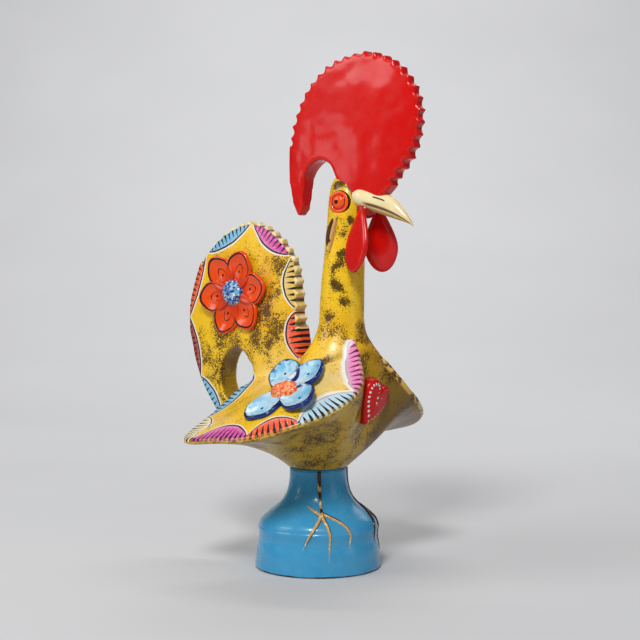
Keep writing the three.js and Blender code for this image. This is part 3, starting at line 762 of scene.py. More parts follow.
def body_material(colours, tail_whole):
    """Sponged yellow ground with painted fans round the tail and wings and gilt teeth; painted shade on the
    undersides, in the tail's hole, between the teeth and in warm patches, and painted highlight in the pale
    patches.
    """
    material, tree, shader = varnished("Sponged yellow clay", 0.34, 0.3)
    shader.inputs["Coat Roughness"].default_value = 0.22
    tail_run, tail_in, tail_depth = field(tree, "tail_place")
    wing_run, wing_in, wing_depth = field(tree, "wing_place")
    # The tone field: sponging, pale paint with painted highlight, and painted shade.
    sponge, pale, dark = field(tree, "tone")
    on_tail, wing_top, tooth = field(tree, "zone")
    rim, dab, painted_warm_shade = field(tree, "detail")

    uneven = band(tree, clouds(tree, 30, 3, 0.6), 0.46, 0.72, 0, 0.35)
    ground = blend(tree, uneven, colours.yellow, colours.amber)
    # Amber patches of painted warm shade.
    ground = blend(tree, painted_warm_shade, ground, colours.amber)
    # Olive over the painted shade: undersides, the far side darker still, and the tail's hole.
    ground = blend(tree, dark, ground, colours.olive_shade)
    # Pale cream, partly pale paint and partly painted highlight.
    pale_and_highlight = times(tree, pale, band(tree, clouds(tree, 90, 3, 0.6), 0.3, 0.6, 0.6, 1))
    ground = blend(tree, pale_and_highlight, ground, colours.cream)
    specks = use_group(tree, "Sponged specks", Amount=sponge)["Mask"]
    ground = blend(tree, times(tree, specks, 0.85), ground, colours.speck)
    fine = use_group(tree, "Sponged specks", Amount=times(tree, sponge, 0.75), Grain=1.9)["Mask"]
    ground = blend(tree, times(tree, fine, 0.75), ground, colours.brown)
    dabbed = use_group(tree, "Sponged specks", Amount=times(tree, dab, 2.0), Grain=1.4)["Mask"]
    ground = blend(tree, times(tree, dabbed, 0.9), ground, colours.speck)

    tail_value = sums(tree, "DIVIDE", tail_run, tail_whole)
    last_fan = (1 + TAIL_FANS[0][0], *TAIL_FANS[0][1:])
    tail_paint = stepped_colours(tree, tail_value, fan_stops(TAIL_FANS + [last_fan], colours, 1))
    tooth_band = band(tree, tooth, -0.6, -0.4)
    tail_fan = use_group(
        tree, "Painted fan", Run=tail_run, In=tail_in, Depth=tail_depth, Skip=times(tree, tooth_band, 3.0),
        Pitch=4.7, Band=2.0, Paint=tail_paint, Dash=colours.black, Line=colours.black, Ground=ground,
        White=colours.white,
    )
    ground = blend(tree, times(tree, tail_fan["Cover"], on_tail), ground, tail_fan["Colour"])

    wing_value = sums(tree, "DIVIDE", wing_run, 2 * LEFT_WING_START)
    wing_paint = stepped_colours(tree, wing_value, wing_stops(colours))
    wing_dash = stepped_colours(tree, wing_value, wing_stops(colours, True))
    soft = band(tree, wing_run, 100, 112, 1, 0)
    line = blend(tree, times(tree, soft, 0.55), colours.black, colours.white)
    wing_fan = use_group(
        tree, "Painted fan", Run=wing_run, In=wing_in, Depth=wing_depth, Pitch=4.8,
        Band=sums(tree, "MULTIPLY_ADD", soft, 1.9, 1.8), Paint=wing_paint, Dash=wing_dash, Line=line,
        Ground=ground, White=colours.white,
    )
    on_wing = band(tree, wing_top, -0.2, 0.35)
    ground = blend(tree, times(tree, wing_fan["Cover"], on_wing), ground, wing_fan["Colour"])
    brown_marked = blend(tree, band(tree, clouds(tree, 210, 2), 0.5, 0.56), colours.straw, colours.brown)
    ground = blend(tree, times(tree, rim, 0.8), ground, brown_marked)

    gilt = blend(tree, band(tree, clouds(tree, 130, 2), 0.4, 0.65), colours.cream, colours.straw)
    # Brown towards each notch: painted shade in the crevices between the teeth.
    gilt = blend(tree, band(tree, tooth, 0.25, 0.95, 0, 0.9), gilt, colours.brown)
    edge = band(tree, tail_in, 3.2, 3.9, 1, 0)
    share = times(tree, times(tree, tooth_band, edge), on_tail)
    feed(tree, shader.inputs["Base Color"], blend(tree, share, ground, gilt))
    return material


def brushed(tree, colour, shade, strength):
    """Colour and roughness of hand-brushed paint."""
    return use_group(tree, "Brushed paint", Colour=colour, Shade=shade, Strength=strength)


def brushed_material(name, colour, shade, strength=0.5, gloss=0.2):
    """Plain brushed glossy paint."""
    material, tree, shader = varnished(name, gloss)
    paint = brushed(tree, colour, shade, strength)
    feed(tree, shader.inputs["Base Color"], paint["Colour"])
    feed(tree, shader.inputs["Roughness"], paint["Roughness"])
    return material


# Clay shapes


def both_sides(rows, droop=0.0):
    """Station values round the right side and back round the left, which may hang lower; out becomes Y."""
    right = [(x, -y, z) for x, y, z in rows]
    lower = [droop * math.sin(math.radians(angle)) ** 2 for angle in STATION_ANGLES]
    left = [(x, -y, z - drop) for (x, y, z), drop in zip(right, lower)]
    return right + left[-2:0:-1]


def rim_curve(bird, per_station, painted=False):
    """The wings' rim, in millimetres, or the line that their painted fans follow."""
    rows = PAINTED_RIM_START + STATION_RIM[3:] if painted else STATION_RIM
    return bird.place(closed_curve(both_sides(rows, LEFT_WING_DROOP), per_station))


def body_skin(bird, sizes):
    """Bowl, wings, neck and head as one skin of rings from the pedestal up."""
    per_station = 14
    rim = rim_curve(bird, per_station)
    under = closed_curve(both_sides(STATION_UNDER), per_station) * bird.percent
    upper = closed_curve(both_sides(STATION_UPPER), per_station) * bird.percent
    root = closed_curve(both_sides([(0, 0, -value) for value in STATION_ROOT]), per_station) * bird.percent
    station = np.arange(len(rim)) / per_station
    mirrored = station > LAST_STATION
    near = np.where(mirrored, 2 * LAST_STATION - station, station)
    angle = np.radians(np.interp(near, range(LAST_STATION + 1), STATION_ANGLES)) * np.where(mirrored, 1, -1)
    round_way = np.stack([np.cos(angle), np.sin(angle), np.zeros(len(angle))], axis=1)
    half = np.array([0, 0, sizes.rim_thickness / MILLIMETRE / 2])
    waist = round_way * (sizes.waist_width / MILLIMETRE / 2 + 0.6) + np.array([0, 0, bird.base])
    flare = (round_way + np.array([0, 0, 0.85])) * BOWL_FLARE * bird.percent

    def section(up, forward, length, width):
        """One round ring of the neck."""
        return bird.place(np.array([forward, 0, up]) + round_way * np.array([length, width, 0]))

    neck = section(*NECK_SECTIONS[0])
    low, high = rim - half, rim + half
    rings = [bezier(waist, waist + flare, low + under, low, share) for share in np.linspace(0, 1, 30)]
    rings += [bezier(high, high + upper, neck + root, neck, share) for share in np.linspace(0, 1, 40)]
    rings += [section(*row) for row in open_curve(NECK_SECTIONS, 5)[1:]]
    top = bird.place([NECK_SECTIONS[-1][1], 0, NECK_SECTIONS[-1][0] + 0.7])
    return ring_mesh(rings, np.array([0, 0, bird.base - 0.6]), top)


def tooth_phase(run, guide, teeth, per_span):
    """Count of teeth passed at each place along an outline: a notch at whole numbers, a tip half way."""
    first, last, count = teeth
    start, end = guide.run[first * per_span], guide.run[last * per_span]
    return (run - start) / (end - start) * count, count


def slab_half(places, outline, lens, thickness, bird):
    """Half thickness of a lens-shaped slab at places in its plane."""
    middle, rims = np.array(lens[:2]), np.array(lens[2:])
    reach = np.abs(np.array(outline) - middle).max(axis=0) / np.sqrt(1 - rims ** 2)
    flat = (places[:, [0, 2]] - np.array([0, bird.base])) / bird.percent
    swell = 1 - (((flat - middle) / reach) ** 2).sum(axis=1)
    return thickness / 2 * np.sqrt(np.clip(swell, 0.02, 1))


def within(loop, places):
    """Which flat places lie inside a closed flat loop."""
    inside = np.zeros(len(places), bool)
    for (x0, z0), (x1, z1) in zip(loop, np.roll(loop, -1, axis=0)):
        crossed = (z0 > places[:, 1]) != (z1 > places[:, 1])
        reach = x0 + (places[:, 1] - z0) * (x1 - x0) / (z1 - z0 if z1 != z0 else 1e-9)
        inside ^= crossed & (places[:, 0] < reach)
    return inside


def standing_slab(bird, outline, points_of_outline, lens, thickness, hole=None):
    """A closed slab in the middle plane, cut to an outline and swelling to a lens."""
    loops = [outline[:, [0, 2]]] + ([hole[:, [0, 2]]] if hole is not None else [])
    points = [Vector(point) for loop in loops for point in loop]
    edges = []
    count = 0
    for loop in loops:
        edges += [(count + step, count + (step + 1) % len(loop)) for step in range(len(loop))]
        count += len(loop)
    low, high = loops[0].min(axis=0), loops[0].max(axis=0)
    grid = 3.0
    points += [
        Vector((x, z)) for x in np.arange(low[0], high[0], grid) for z in np.arange(low[1], high[1], grid)
    ]
    corners, _, faces, *_ = delaunay_2d_cdt(points, edges, [], 0, 1e-5)
    flat = np.array([(corner.x, 0, corner.y) for corner in corners])
    centres = flat[np.array(faces)].mean(axis=1)[:, [0, 2]]
    solid = within(loops[0], centres)
    for loop in loops[1:]:
        solid &= ~within(loop, centres)
    faces = [list(face) for face, kept in zip(faces, solid) if kept]
    half = slab_half(flat, points_of_outline, lens, thickness, bird)
    right = flat - np.outer(half, [0, 1, 0])
    left = flat + np.outer(half, [0, 1, 0])
    total = len(flat)
    closed = [tuple(face) for face in faces]
    closed += [tuple(corner + total for corner in reversed(face)) for face in faces]
    used = {}
    for face in faces:
        for a, b in zip(face, face[1:] + face[:1]):
            used[(a, b)] = used.get((a, b), 0) + 1
    for a, b in used:
        if (b, a) not in used:
            closed.append((b, a, a + total, b + total))
    return np.vstack([right, left]), closed


def toothed(curve, guide, teeth, per_span, depth):
    """An outline with pinched teeth between two of its points."""
    phase, count = tooth_phase(guide.run, guide, teeth, per_span)
    inside = (phase >= 0) & (phase <= count)
    inward = np.where(inside, depth * np.abs(np.cos(math.pi * phase)) ** 0.9, 0)
    to_middle = np.stack([-guide.along[:, 2], np.zeros(len(curve)), guide.along[:, 0]], axis=1)
    return curve + to_middle * inward[:, None]


def comb_line(bird):
    """The comb's outline before it is pinched."""
    return bird.flat(closed_curve(COMB_OUTLINE, 24))


def tail_line(bird):
    """The tail's outline before it is pinched."""
    return bird.flat(closed_curve(TAIL_OUTLINE, 32))


def tail_hole_line(bird):
    """The oval hole through the tail."""
    forward, up, length, height = TAIL_HOLE
    turn = full_turn(72)
    return bird.flat(np.stack([forward + length * np.cos(turn), up + height * np.sin(turn)], axis=1))


def soft_spot(places, spot, reach):
    """A soft patch of 1 at a spot that fades out over its reach."""
    away = np.linalg.norm((places - np.asarray(spot, float)) / np.asarray(reach, float), axis=1)
    return np.exp(-away ** 2)


def body_tones(bird, places, top, on_tail):
    """Share of sponging, of pale paint with painted highlight, and of painted shade at each place of the
    body.
    """
    mirrored = places * np.where(places[:, 1:2] > 0, [1, -1, 1], [1, 1, 1])

    def spots(rows):
        """The sum of soft spots given by place in hundredths, reach in millimetres and strength."""
        return sum(share * soft_spot(mirrored, bird.place(spot), reach) for spot, reach, share in rows)

    sponge = 0.58 + spots([
        ((-10, -4, 46), (14, 30, 30), 0.55), ((-14, -4, 36), (18, 30, 22), 0.5),
        ((-26, -4, 31), (30, 30, 14), 0.4), ((-13, -4, 29), (16, 30, 16), 0.5),
        ((-34, -4, 22), (16, 30, 30), 0.4), ((8, -6, 50), (18, 20, 16), 0.3),
        ((10, -5, 40), (16, 20, 18), 0.3), ((12, -7, 32), (20, 24, 20), 0.35),
        ((-24, -4, 20), (24, 40, 30), 0.3),
    ])
    under = smooth_step(0.5, -1.0, top) * (1 - on_tail)
    # Pale paint, partly painted highlight, on the wings' upper faces near the breast and by the tail.
    pale = (1 - under) * spots([
        ((13, -12, 24), (18, 18, 20), 0.7), ((-9, -9, 26), (22, 22, 14), 0.45),
        ((-12, -8, 21), (16, 22, 12), 0.35),
    ])
    # Painted shade: darker on the undersides, darker still on the far (left) side, and a patch round the
    # tail's hole.
    shade = (0.5 + 0.45 * smooth_step(4, 17, places[:, 1])) * under
    shade = shade + spots([((-24.1, -2, 20), (20, 10, 28), 0.15)]) * on_tail
    sponge = sponge * (1 - 0.55 * np.clip(pale, 0, 1)) + 0.42 * under
    return np.stack([np.clip(sponge, 0, 1.3), np.clip(pale, 0, 0.9), np.clip(shade, 0, 0.95)], axis=1)


def dabs_at(bird, places):
    """Strength of the dark dabs on the head and neck at each place."""
    mirrored = places * np.where(places[:, 1:2] > 0, [1, -1, 1], [1, 1, 1])
    return 1.35 * sum(soft_spot(mirrored, bird.place(spot), (reach, reach, reach)) for spot, reach in DABS)


def throat_lump(bird):
    """The lump under the beak's root that carries the wattles."""
    rings = []
    for rise in np.linspace(-0.96, 0.96, 9):
        turn = full_turn(24)
        wide = math.sqrt(1 - rise ** 2)
        rings.append(bird.place(np.stack(
            [15 + 2.4 * wide * np.cos(turn), 2.9 * wide * np.sin(turn), np.full(24, 62.4 + 2 * rise)], axis=1,
        )))
    return ring_mesh(rings, bird.place([15, 0, 60.4]), bird.place([15, 0, 64.4]))


def build_body(sizes, colours):
    """Body, wings, neck, head and tail, fused as one lump of clay."""
    bird = Bird(sizes)
    skin = body_skin(bird, sizes)
    thickness = sizes.tail_thickness / MILLIMETRE
    curve = tail_line(bird)
    guide = Guide(curve)
    pinched = toothed(curve, guide, TAIL_TEETH, 32, sizes.tail_tooth_depth / MILLIMETRE)
    slab = standing_slab(bird, pinched, TAIL_OUTLINE, TAIL_LENS, thickness, tail_hole_line(bird))
    places, faces, edges = fused([skin, slab], sizes.clay_pitch)
    places = relaxed(places, edges, 3, swell=0.52)
    from_body = distances(skin[0], places)
    from_tail = distances(slab[0], places)
    seam = smooth_step(13, 4, np.maximum(from_body, from_tail))
    seam *= places[:, 2] > bird.place([0, 0, 12])[2]
    breast = soft_spot(places, bird.place([17, 0, 27.5]), (16, 24, 26))
    places = relaxed(places, edges, 70, weight=np.clip(seam + 1.4 * breast, 0, 1))
    places = relaxed(places, edges, 2)
    places = hand_shaped(places, faces, sizes, 1.0)

    flat = places * np.array([1, 0, 1])
    tail_run, tail_in, _ = guide.measure(flat)
    on_tail = smooth_step(-1.5, 1.5, from_body - from_tail)
    phase, count = tooth_phase(tail_run, guide, TAIL_TEETH, 32)
    # Nearness to the notches between the tail's teeth, which the paint darkens as painted shade in the
    # crevices.
    notch = np.where((phase > -0.3) & (phase < count + 0.3), np.abs(np.cos(math.pi * phase)) ** 3, -1)
    rim = Guide(rim_curve(bird, 60, painted=True))
    rim_run, away, index = rim.measure(places)
    left = rim_run > rim.whole / 2
    shorter = (Guide(rim_curve(bird, 60)).whole - rim.whole) / 2
    side_run = np.where(left, rim.whole - rim_run, rim_run) + shorter
    beside = smooth_step(45, 40, side_run)
    outer = np.clip(np.abs(places[:, 1]) - np.abs(rim.line[index, 1]), -1, 1)
    upper = closed_curve(both_sides(STATION_UPPER), 60)
    under = closed_curve(both_sides(STATION_UNDER), 60)
    lift = upper / np.linalg.norm(upper, axis=1)[:, None] - under / np.linalg.norm(under, axis=1)[:, None]
    lift /= np.linalg.norm(lift, axis=1)[:, None]
    top = np.einsum("ij,ij->i", places - rim.line[index], lift[index])
    half = sizes.rim_thickness / MILLIMETRE / 2
    wing_in = np.maximum(away - half * (1 - beside), 0) * (1 + beside * (outer - 1))
    brown_marked, faint = smooth_step(half + 1.6, half + 0.6, away), 0.4 * smooth_step(half + 0.9, half, away)
    edge = np.where(left, brown_marked, faint)
    edge *= (1 - on_tail) * smooth_step(14, 24, side_run)
    hole = distances(tail_hole_line(bird), flat) + 3 * np.maximum(np.abs(places[:, 1]) - 8, 0)
    # Painted warm shade: right of the tail flower, under the front of the right wing, and on the breast's
    # left side below the neck.
    painted_warm_shade = np.clip(0.9 * soft_spot(places, bird.place([-14.5, -4, 42]), (9, 30, 26))
                   + 0.7 * soft_spot(places, bird.place([11.5, -9, 20]), (14, 14, 9))
                   + 0.8 * soft_spot(places, bird.place([16, 4, 33]), (14, 16, 30)), 0, 0.85)
    tones = body_tones(bird, places, top, on_tail)
    # Painted shade on the tail hole's inner wall.
    tones[:, 2] = np.maximum(tones[:, 2], 0.75 * smooth_step(2.2, 0.4, hole) * on_tail)
    wing_depth = fan_depth(side_run, WING_FANS)
    fields = {
        "tail_place": np.stack([tail_run, tail_in, fan_depth(tail_run, TAIL_FANS, guide.whole)], axis=1),
        "wing_place": np.stack([side_run + LEFT_WING_START * left, wing_in, wing_depth], axis=1),
        "tone": tones,
        "zone": np.stack([on_tail, np.where(beside > 0.5, 1, top) * (1 - on_tail), notch], axis=1),
        "detail": np.stack([edge, dabs_at(bird, places), painted_warm_shade], axis=1),
    }
    add_piece("body_and_tail", places, faces, body_material(colours, guide.whole), fields)


def build_comb(sizes, colours):
    """The tall toothed comb."""
    bird = Bird(sizes)
    curve = comb_line(bird)
    guide = Guide(curve)
    pinched = toothed(curve, guide, COMB_TEETH, 24, sizes.comb_tooth_depth / MILLIMETRE)
    slab = standing_slab(bird, pinched, COMB_OUTLINE, COMB_LENS, sizes.comb_thickness / MILLIMETRE)
    places, faces, edges = fused([slab], sizes.clay_pitch)
    places = relaxed(places, edges, 3, swell=0.52)
    places = relaxed(places, edges, 3)
    places = hand_shaped(places, faces, sizes, 4.0, 1.2)
    material = brushed_material("Brushed red", colours.red, colours.crimson, 0.3)
    add_piece("comb", places, faces, material)


def pedestal_profile(sizes):
    """Radius and height down the pedestal's side, in millimetres."""
    waist = sizes.waist_width / MILLIMETRE / 2
    skirt = sizes.pedestal_width / MILLIMETRE / 2
    shoulder = skirt - sizes.skirt_taper / MILLIMETRE
    low = sizes.skirt_height / MILLIMETRE
    rise = sizes.pedestal_height / MILLIMETRE - low
    reach = shoulder - waist
    middle = np.array([shoulder - reach * 0.4, low + rise * 0.26])
    bends = [
        (np.array([shoulder, low]), np.array([shoulder - reach * 0.02, low + rise * 0.11]),
         np.array([shoulder - reach * 0.16, low + rise * 0.15]), middle),
        (middle, np.array([shoulder - reach * 0.85, low + rise * 0.43]), np.array([waist, low + rise * 0.56]),
         np.array([waist, low + rise])),
    ]
    edge = 1.2
    turns = np.linspace(0, 1.5, 6)
    foot = [(skirt - edge + edge * math.sin(turn), edge - edge * math.cos(turn)) for turn in turns]
    side = []
    for share in np.linspace(0.03, 0.99, 26):
        groove = 0.9 * math.exp(-((share - 0.72) / 0.16) ** 2) - 0.5 * math.exp(-((share - 1.0) / 0.1) ** 2)
        side.append((skirt + (shoulder - skirt) * share - groove, edge + (low - edge) * share))
    curved = [tuple(bezier(*bend, share)) for bend in bends for share in np.linspace(0, 1, 22)[:-1]]
    return np.array(foot + side + curved + [(waist, low + rise)])


def on_pedestal(sizes, angle, height):
    """A place on the pedestal's side at an angle from the front, on the bird's right."""
    profile = pedestal_profile(sizes)
    radius = np.interp(height, profile[:, 1], profile[:, 0])
    return np.stack([radius * np.cos(angle), -radius * np.sin(angle), height], axis=-1)


def foot_paths(sizes):
    """Middle lines of the right leg and toes on the pedestal."""
    paths = []
    for line in FOOT_LINES:
        course = open_curve([(math.radians(angle), share) for angle, share in line], 12)
        paths.append(on_pedestal(sizes, course[:, 0], course[:, 1] * sizes.pedestal_height / MILLIMETRE))
    return paths


def build_pedestal(sizes, colours):
    """The bell-shaped pedestal with a black band of painted shadow round its lower edge."""
    profile = pedestal_profile(sizes)
    turn = full_turn(200)
    rings = [ring(radius, turn, height) for radius, height in profile]
    top = sizes.pedestal_height / MILLIMETRE
    places, faces = ring_mesh(rings, np.array([0, 0, 0.0]), np.array([0, 0, top]))
    swing = smooth_step(2, 14, places[:, 2])[:, None] * 0.45
    places = places + surface_normals(places, faces) * (wander(places, 20, 3.0)[:, None] * swing)
    fields = {"hem_place": places}

    material, tree, shader = varnished("Glossy blue", 0.2, 0.22)
    _, _, height = field(tree, "hem_place")
    lighter = blend(tree, 0.5, colours.pedestal_blue, colours.sky)
    mottled = brushed(tree, colours.pedestal_blue, lighter, 0.7)
    # Black band round the foot's lower edge, ragged at its top: painted shadow where the pedestal meets the
    # floor.
    painted_foot_shadow = sums(tree, "ADD", height, sums(tree, "MULTIPLY_ADD", clouds(tree, 60, 2), 2.4, -1.2))
    feed(tree, shader.inputs["Base Color"], blend(
        tree, band(tree, painted_foot_shadow, 0.9, 1.5, 1, 0), mottled["Colour"], colours.black,
    ))
    feed(tree, shader.inputs["Roughness"], mottled["Roughness"])
    add_piece("pedestal", places, faces, material, fields)


def swept_ridge(path, outward, width, relief, full):
    """A half-round ridge along a path over a surface, its width given as shares of the full one."""
    count = len(path)
    along = np.gradient(path, axis=0)
    along /= np.linalg.norm(along, axis=1)[:, None]
    lift = outward - np.einsum("ij,ij->i", outward, along)[:, None] * along
    lift /= np.linalg.norm(lift, axis=1)[:, None]
    across = np.cross(lift, along)
    turn = full_turn(14)
    rings = []
    for step in range(count):
        side = np.cos(turn)[:, None] * across[step] * width / 2 * full[step]
        tall = np.sin(turn) * np.where(np.sin(turn) > 0, full[step], 1)
        rise = tall[:, None] * lift[step] * relief
        rings.append(path[step] + side + rise)
    return ring_mesh(rings, path[0] - 0.2 * along[0], path[-1] + 0.6 * along[-1])


def build_feet(sizes, colours):
    """The raised gilt legs and toes, dark down one side as painted shade, with painted glints."""
    ridges, across = [], []
    for order, path in enumerate(foot_paths(sizes)):
        outward = path * np.array([1, 1, 0])
        outward /= np.linalg.norm(outward, axis=1)[:, None]
        share = np.linspace(0, 1, len(path))
        full = 1 - 0.3 * share if order == 0 else 0.95 - 0.85 * share ** 2.2
        right = swept_ridge(path, outward, sizes.leg_width / MILLIMETRE, sizes.leg_relief / MILLIMETRE, full)
        ridges += [right, other_side(*right)]
        turn = full_turn(14)
        # Across each ridge: dark where it meets the pedestal, as a brushed outline, and dark down one side as
        # painted shade, less so on the leg.
        side = 0.25 + np.cos(turn) * (1 if order else 0.6) + (np.sin(turn) < -0.1)
        outline_and_shaded_side = np.concatenate([np.tile(side, len(path)), [0, 0]])
        on_leg = np.full(len(outline_and_shaded_side), order == 0)
        across += [np.stack([outline_and_shaded_side, on_leg, outline_and_shaded_side * 0], axis=1)] * 2
    places, faces = joined(ridges)
    material, tree, shader = varnished("Gilt clay", 0.25, 0.2)
    away, on_leg, _ = field(tree, "ridge_place")
    uneven = sums(tree, "MULTIPLY_ADD", clouds(tree, 240, 2), 0.5, -0.25)
    # Dark brown from the across field: outline and painted shade.
    dark = band(tree, sums(tree, "ADD", away, uneven), 0.6, 0.85)
    # Dark brown patches at random over the leg.
    leg_dark_patches = times(tree, on_leg, band(tree, clouds(tree, 90, 2), 0.46, 0.54))
    dark = sums(tree, "MAXIMUM", dark, leg_dark_patches)
    # Cream flecks on the gold: painted glints.
    bright = band(tree, clouds(tree, 330, 2), 0.55, 0.62)
    gilt = blend(tree, bright, colours.gold, colours.cream)
    feed(tree, shader.inputs["Base Color"], blend(tree, dark, gilt, colours.speck))
    add_piece("legs_and_toes", places, faces, material, {"ridge_place": np.vstack(across)})


def build_beak(sizes, colours):
    """The beak, with its lips parted by a groove."""
    bird = Bird(sizes)
    sections = open_curve(BEAK_SECTIONS, 9)
    turn = full_turn(64)
    rings, lips = [], []
    for step, (forward, up, height, width) in enumerate(sections):
        share = step / (len(sections) - 1)
        gape = -0.34 - 0.12 * share
        rise = np.sin(turn)
        parted = smooth_step(0.16, 0.3, share)
        groove = np.exp(-((rise - gape) / 0.11) ** 2) * parted * smooth_step(1.0, 0.9, share)
        lip = np.exp(-((rise - gape - 0.26) / 0.13) ** 2) * parted
        swell = 1 - 0.16 * groove + 0.05 * lip
        rings.append(bird.place(np.stack(
            [np.full(len(turn), forward), width * np.cos(turn) * swell, up + height * rise], axis=1,
        )))
        lips.append(np.stack([np.full(len(turn), share), rise - gape, rise], axis=1))
    first, last = BEAK_SECTIONS[0], BEAK_SECTIONS[-1]
    places, faces = ring_mesh(
        rings, bird.place([first[0], 0, first[1]]), bird.place([last[0] + 0.1, 0, last[1] - 0.1]),
    )
    lips = np.vstack(lips + [np.array([[0, 1, 0], [1, 1, 0]])])

    material, tree, shader = varnished("Horn cream", 0.22, 0.2)
    share, from_gape, rise = field(tree, "lip_place")
    paint = brushed(tree, colours.cream, colours.gold, 0.45)
    tip = blend(tree, band(tree, share, 0.55, 1.0, 0, 0.35), paint["Colour"], colours.gold)
    lower = blend(tree, band(tree, rise, -0.3, -0.75, 0, 0.8), tip, colours.gold)
    within = band(tree, share, 0.17, 0.24)
    gape = times(tree, band(tree, sums(tree, "ABSOLUTE", from_gape), 0.06, 0.2, 1, 0), within)
    dark = blend(tree, times(tree, gape, 0.9), lower, colours.brown)
    nostril_run = band(tree, sums(tree, "ABSOLUTE", sums(tree, "SUBTRACT", share, 0.36)), 0.06, 0.085, 1, 0)
    nostril_rise = band(tree, sums(tree, "ABSOLUTE", sums(tree, "SUBTRACT", rise, 0.42)), 0.03, 0.09, 1, 0)
    nostril = times(tree, nostril_run, nostril_rise)
    feed(tree, shader.inputs["Base Color"], blend(tree, nostril, dark, colours.black))
    add_piece("beak", places, faces, material, {"lip_place": lips})


def build_throat(sizes, colours):
    """The red lump that carries the wattles, painted dark crimson as painted shade between them."""
    bird = Bird(sizes)
    places, faces = throat_lump(bird)
    # Dark crimson: painted shade under the beak between the wattles.
    add_piece("throat", places, faces, brushed_material("Throat red", colours.crimson, colours.red, 0.4))


def disc_frame(point, outward, lean):
    """Origin and three axes of a frame on a face; the first leans a given way and the third points out."""
    outward = np.asarray(outward, float) / np.linalg.norm(outward)
    first = lean - np.dot(lean, outward) * outward
    first /= np.linalg.norm(first)
    return point, np.stack([first, np.cross(outward, first), outward])


def build_eyes(sizes, colours):
    """Round clay eyes: a flat ring and a ball."""
    bird = Bird(sizes)
    profile = open_curve([
        (0, 4.4), (2.2, 4.2), (4.2, 3.4), (5.3, 2.2), (5.9, 1.9), (6.8, 2.3), (8.2, 2.0), (9.0, 0.9),
        (9.3, -1.5),
    ], 6)
    turn = full_turn(64)
    rings = [ring(radius, turn, height) for radius, height in profile[1:]]
    shape, faces = ring_mesh(rings[::-1], np.array([0, 0, -1.5]), np.array([0, 0, 4.4]))
    material, tree, shader = varnished("Painted eye", 0.15, 0.1)
    x, y, _ = field(tree, "eye_place")
    away = distance(tree, x, y)
    paint = brushed(tree, colours.orange, colours.straw, 0.35)["Colour"]
    for radius, width, colour in ((5.7, 1.0, colours.crimson), (8.9, 0.9, colours.black)):
        beyond = sums(tree, "SUBTRACT", away, radius)
        paint = use_group(tree, "Brushed line", Away=beyond, Width=width, Line=colour, Under=paint)["Colour"]
    pupil = band(tree, distance(tree, sums(tree, "ADD", x, 0.9), y), 1.5, 2.0, 1, 0)
    feed(tree, shader.inputs["Base Color"], blend(tree, pupil, paint, colours.black))
    for side, name in ((-1, "right_eye"), (1, "left_eye")):
        point = bird.place([9.5, side * 3.55, 64.3])
        origin, axes = disc_frame(point, np.array([0.12, side, 0.05]), np.array([1.0, 0, 0]))
        add_piece(name, origin + shape @ axes, faces, material, {"eye_place": shape})


def build_wattles(sizes, colours):
    """The two flat drops under the beak, with thick rolled edges."""
    bird = Bird(sizes)
    width, height, thick = 8.9 * bird.percent, 15.2 * bird.percent, 2.2 * bird.percent
    material = brushed_material("Wattle red", colours.red, colours.crimson, 0.4, 0.16)
    turn = full_turn(96)
    rings = []
    for tilt in np.linspace(-1, 1, 27)[1:-1]:
        bulge = math.cos(tilt * math.pi / 2) ** 0.55
        depth = math.sin(tilt * math.pi / 2) * (1 - 0.28 * (1 - bulge ** 4))
        rise = np.sin(turn)
        narrow = 1 - 0.42 * smooth_step(-0.4, 1, rise)
        rings.append(np.stack([
            width / 2 * bulge * np.cos(turn) * narrow,
            np.full(len(turn), thick / 2 * depth),
            height / 2 * bulge * rise,
        ], axis=1))
    shape, faces = ring_mesh(rings, np.array([0, -thick * 0.36, 0]), np.array([0, thick * 0.36, 0]))
    shape = shape - np.array([0, 0, height / 2])
    splay = math.radians(-10)
    tip = np.array([[1, 0, 0], [0, math.cos(splay), math.sin(splay)], [0, -math.sin(splay), math.cos(splay)]])
    right = shape @ tip @ spun(math.radians(-18)) + bird.place([16, -3.3, 62.6])
    add_piece("right_wattle", right, faces, material)
    add_piece("left_wattle", *other_side(right, faces), material)


def petal_shape(reach, radius, thickness, cup):
    """One dished petal along +X: places, faces and its own flat places for painting."""
    turn = full_turn(56)
    long, wide = radius * 1.12, radius
    rows = [
        (0.5, -0.3), (0.86, -0.3), (0.97, 0.1), (1.0, 0.45), (0.97, 0.85), (0.9, 1.0), (0.8, 0.92),
        (0.66, 0.72), (0.48, 0.55), (0.28, 0.45), (0.1, 0.42),
    ]
    rings, flat = [], []
    for share, rise in rows:
        bulge = 1 + 0.05 * np.cos(2 * turn) + 0.03 * np.cos(5 * turn)
        x = reach + share * long * bulge * np.cos(turn)
        y = share * wide * bulge * np.sin(turn)
        lift = cup * np.maximum(np.cos(turn), 0) * share ** 2
        rings.append(np.stack([x, y, thickness * rise + lift], axis=1))
        flat.append(np.stack([np.cos(turn) * share, np.sin(turn) * share, np.full(len(turn), share)], axis=1))
    caps = (np.array([reach, 0, rise * thickness]) for rise in (-0.3, 0.42))
    places, faces = ring_mesh(rings, *caps)
    flat = np.vstack(flat + [np.zeros((2, 3))])
    return places, faces, flat


def flower(petals, bird, thickness, cup, side=1):
    """The petals of one flower about its middle, in its own frame."""
    parts, flats = [], []
    for place, turn in enumerate(petals["turns"]):
        reach, radius = petals["reach"] * bird.percent, petals["radius"] * bird.percent
        petal, faces, flat = petal_shape(reach, radius, thickness, cup)
        petal = petal @ spun(math.radians(side * turn)) + np.array([0, 0, 0.25 * (place % 2)])
        parts.append((petal, faces))
        flats.append(flat)
    places, faces = joined(parts)
    return places, faces, np.vstack(flats)


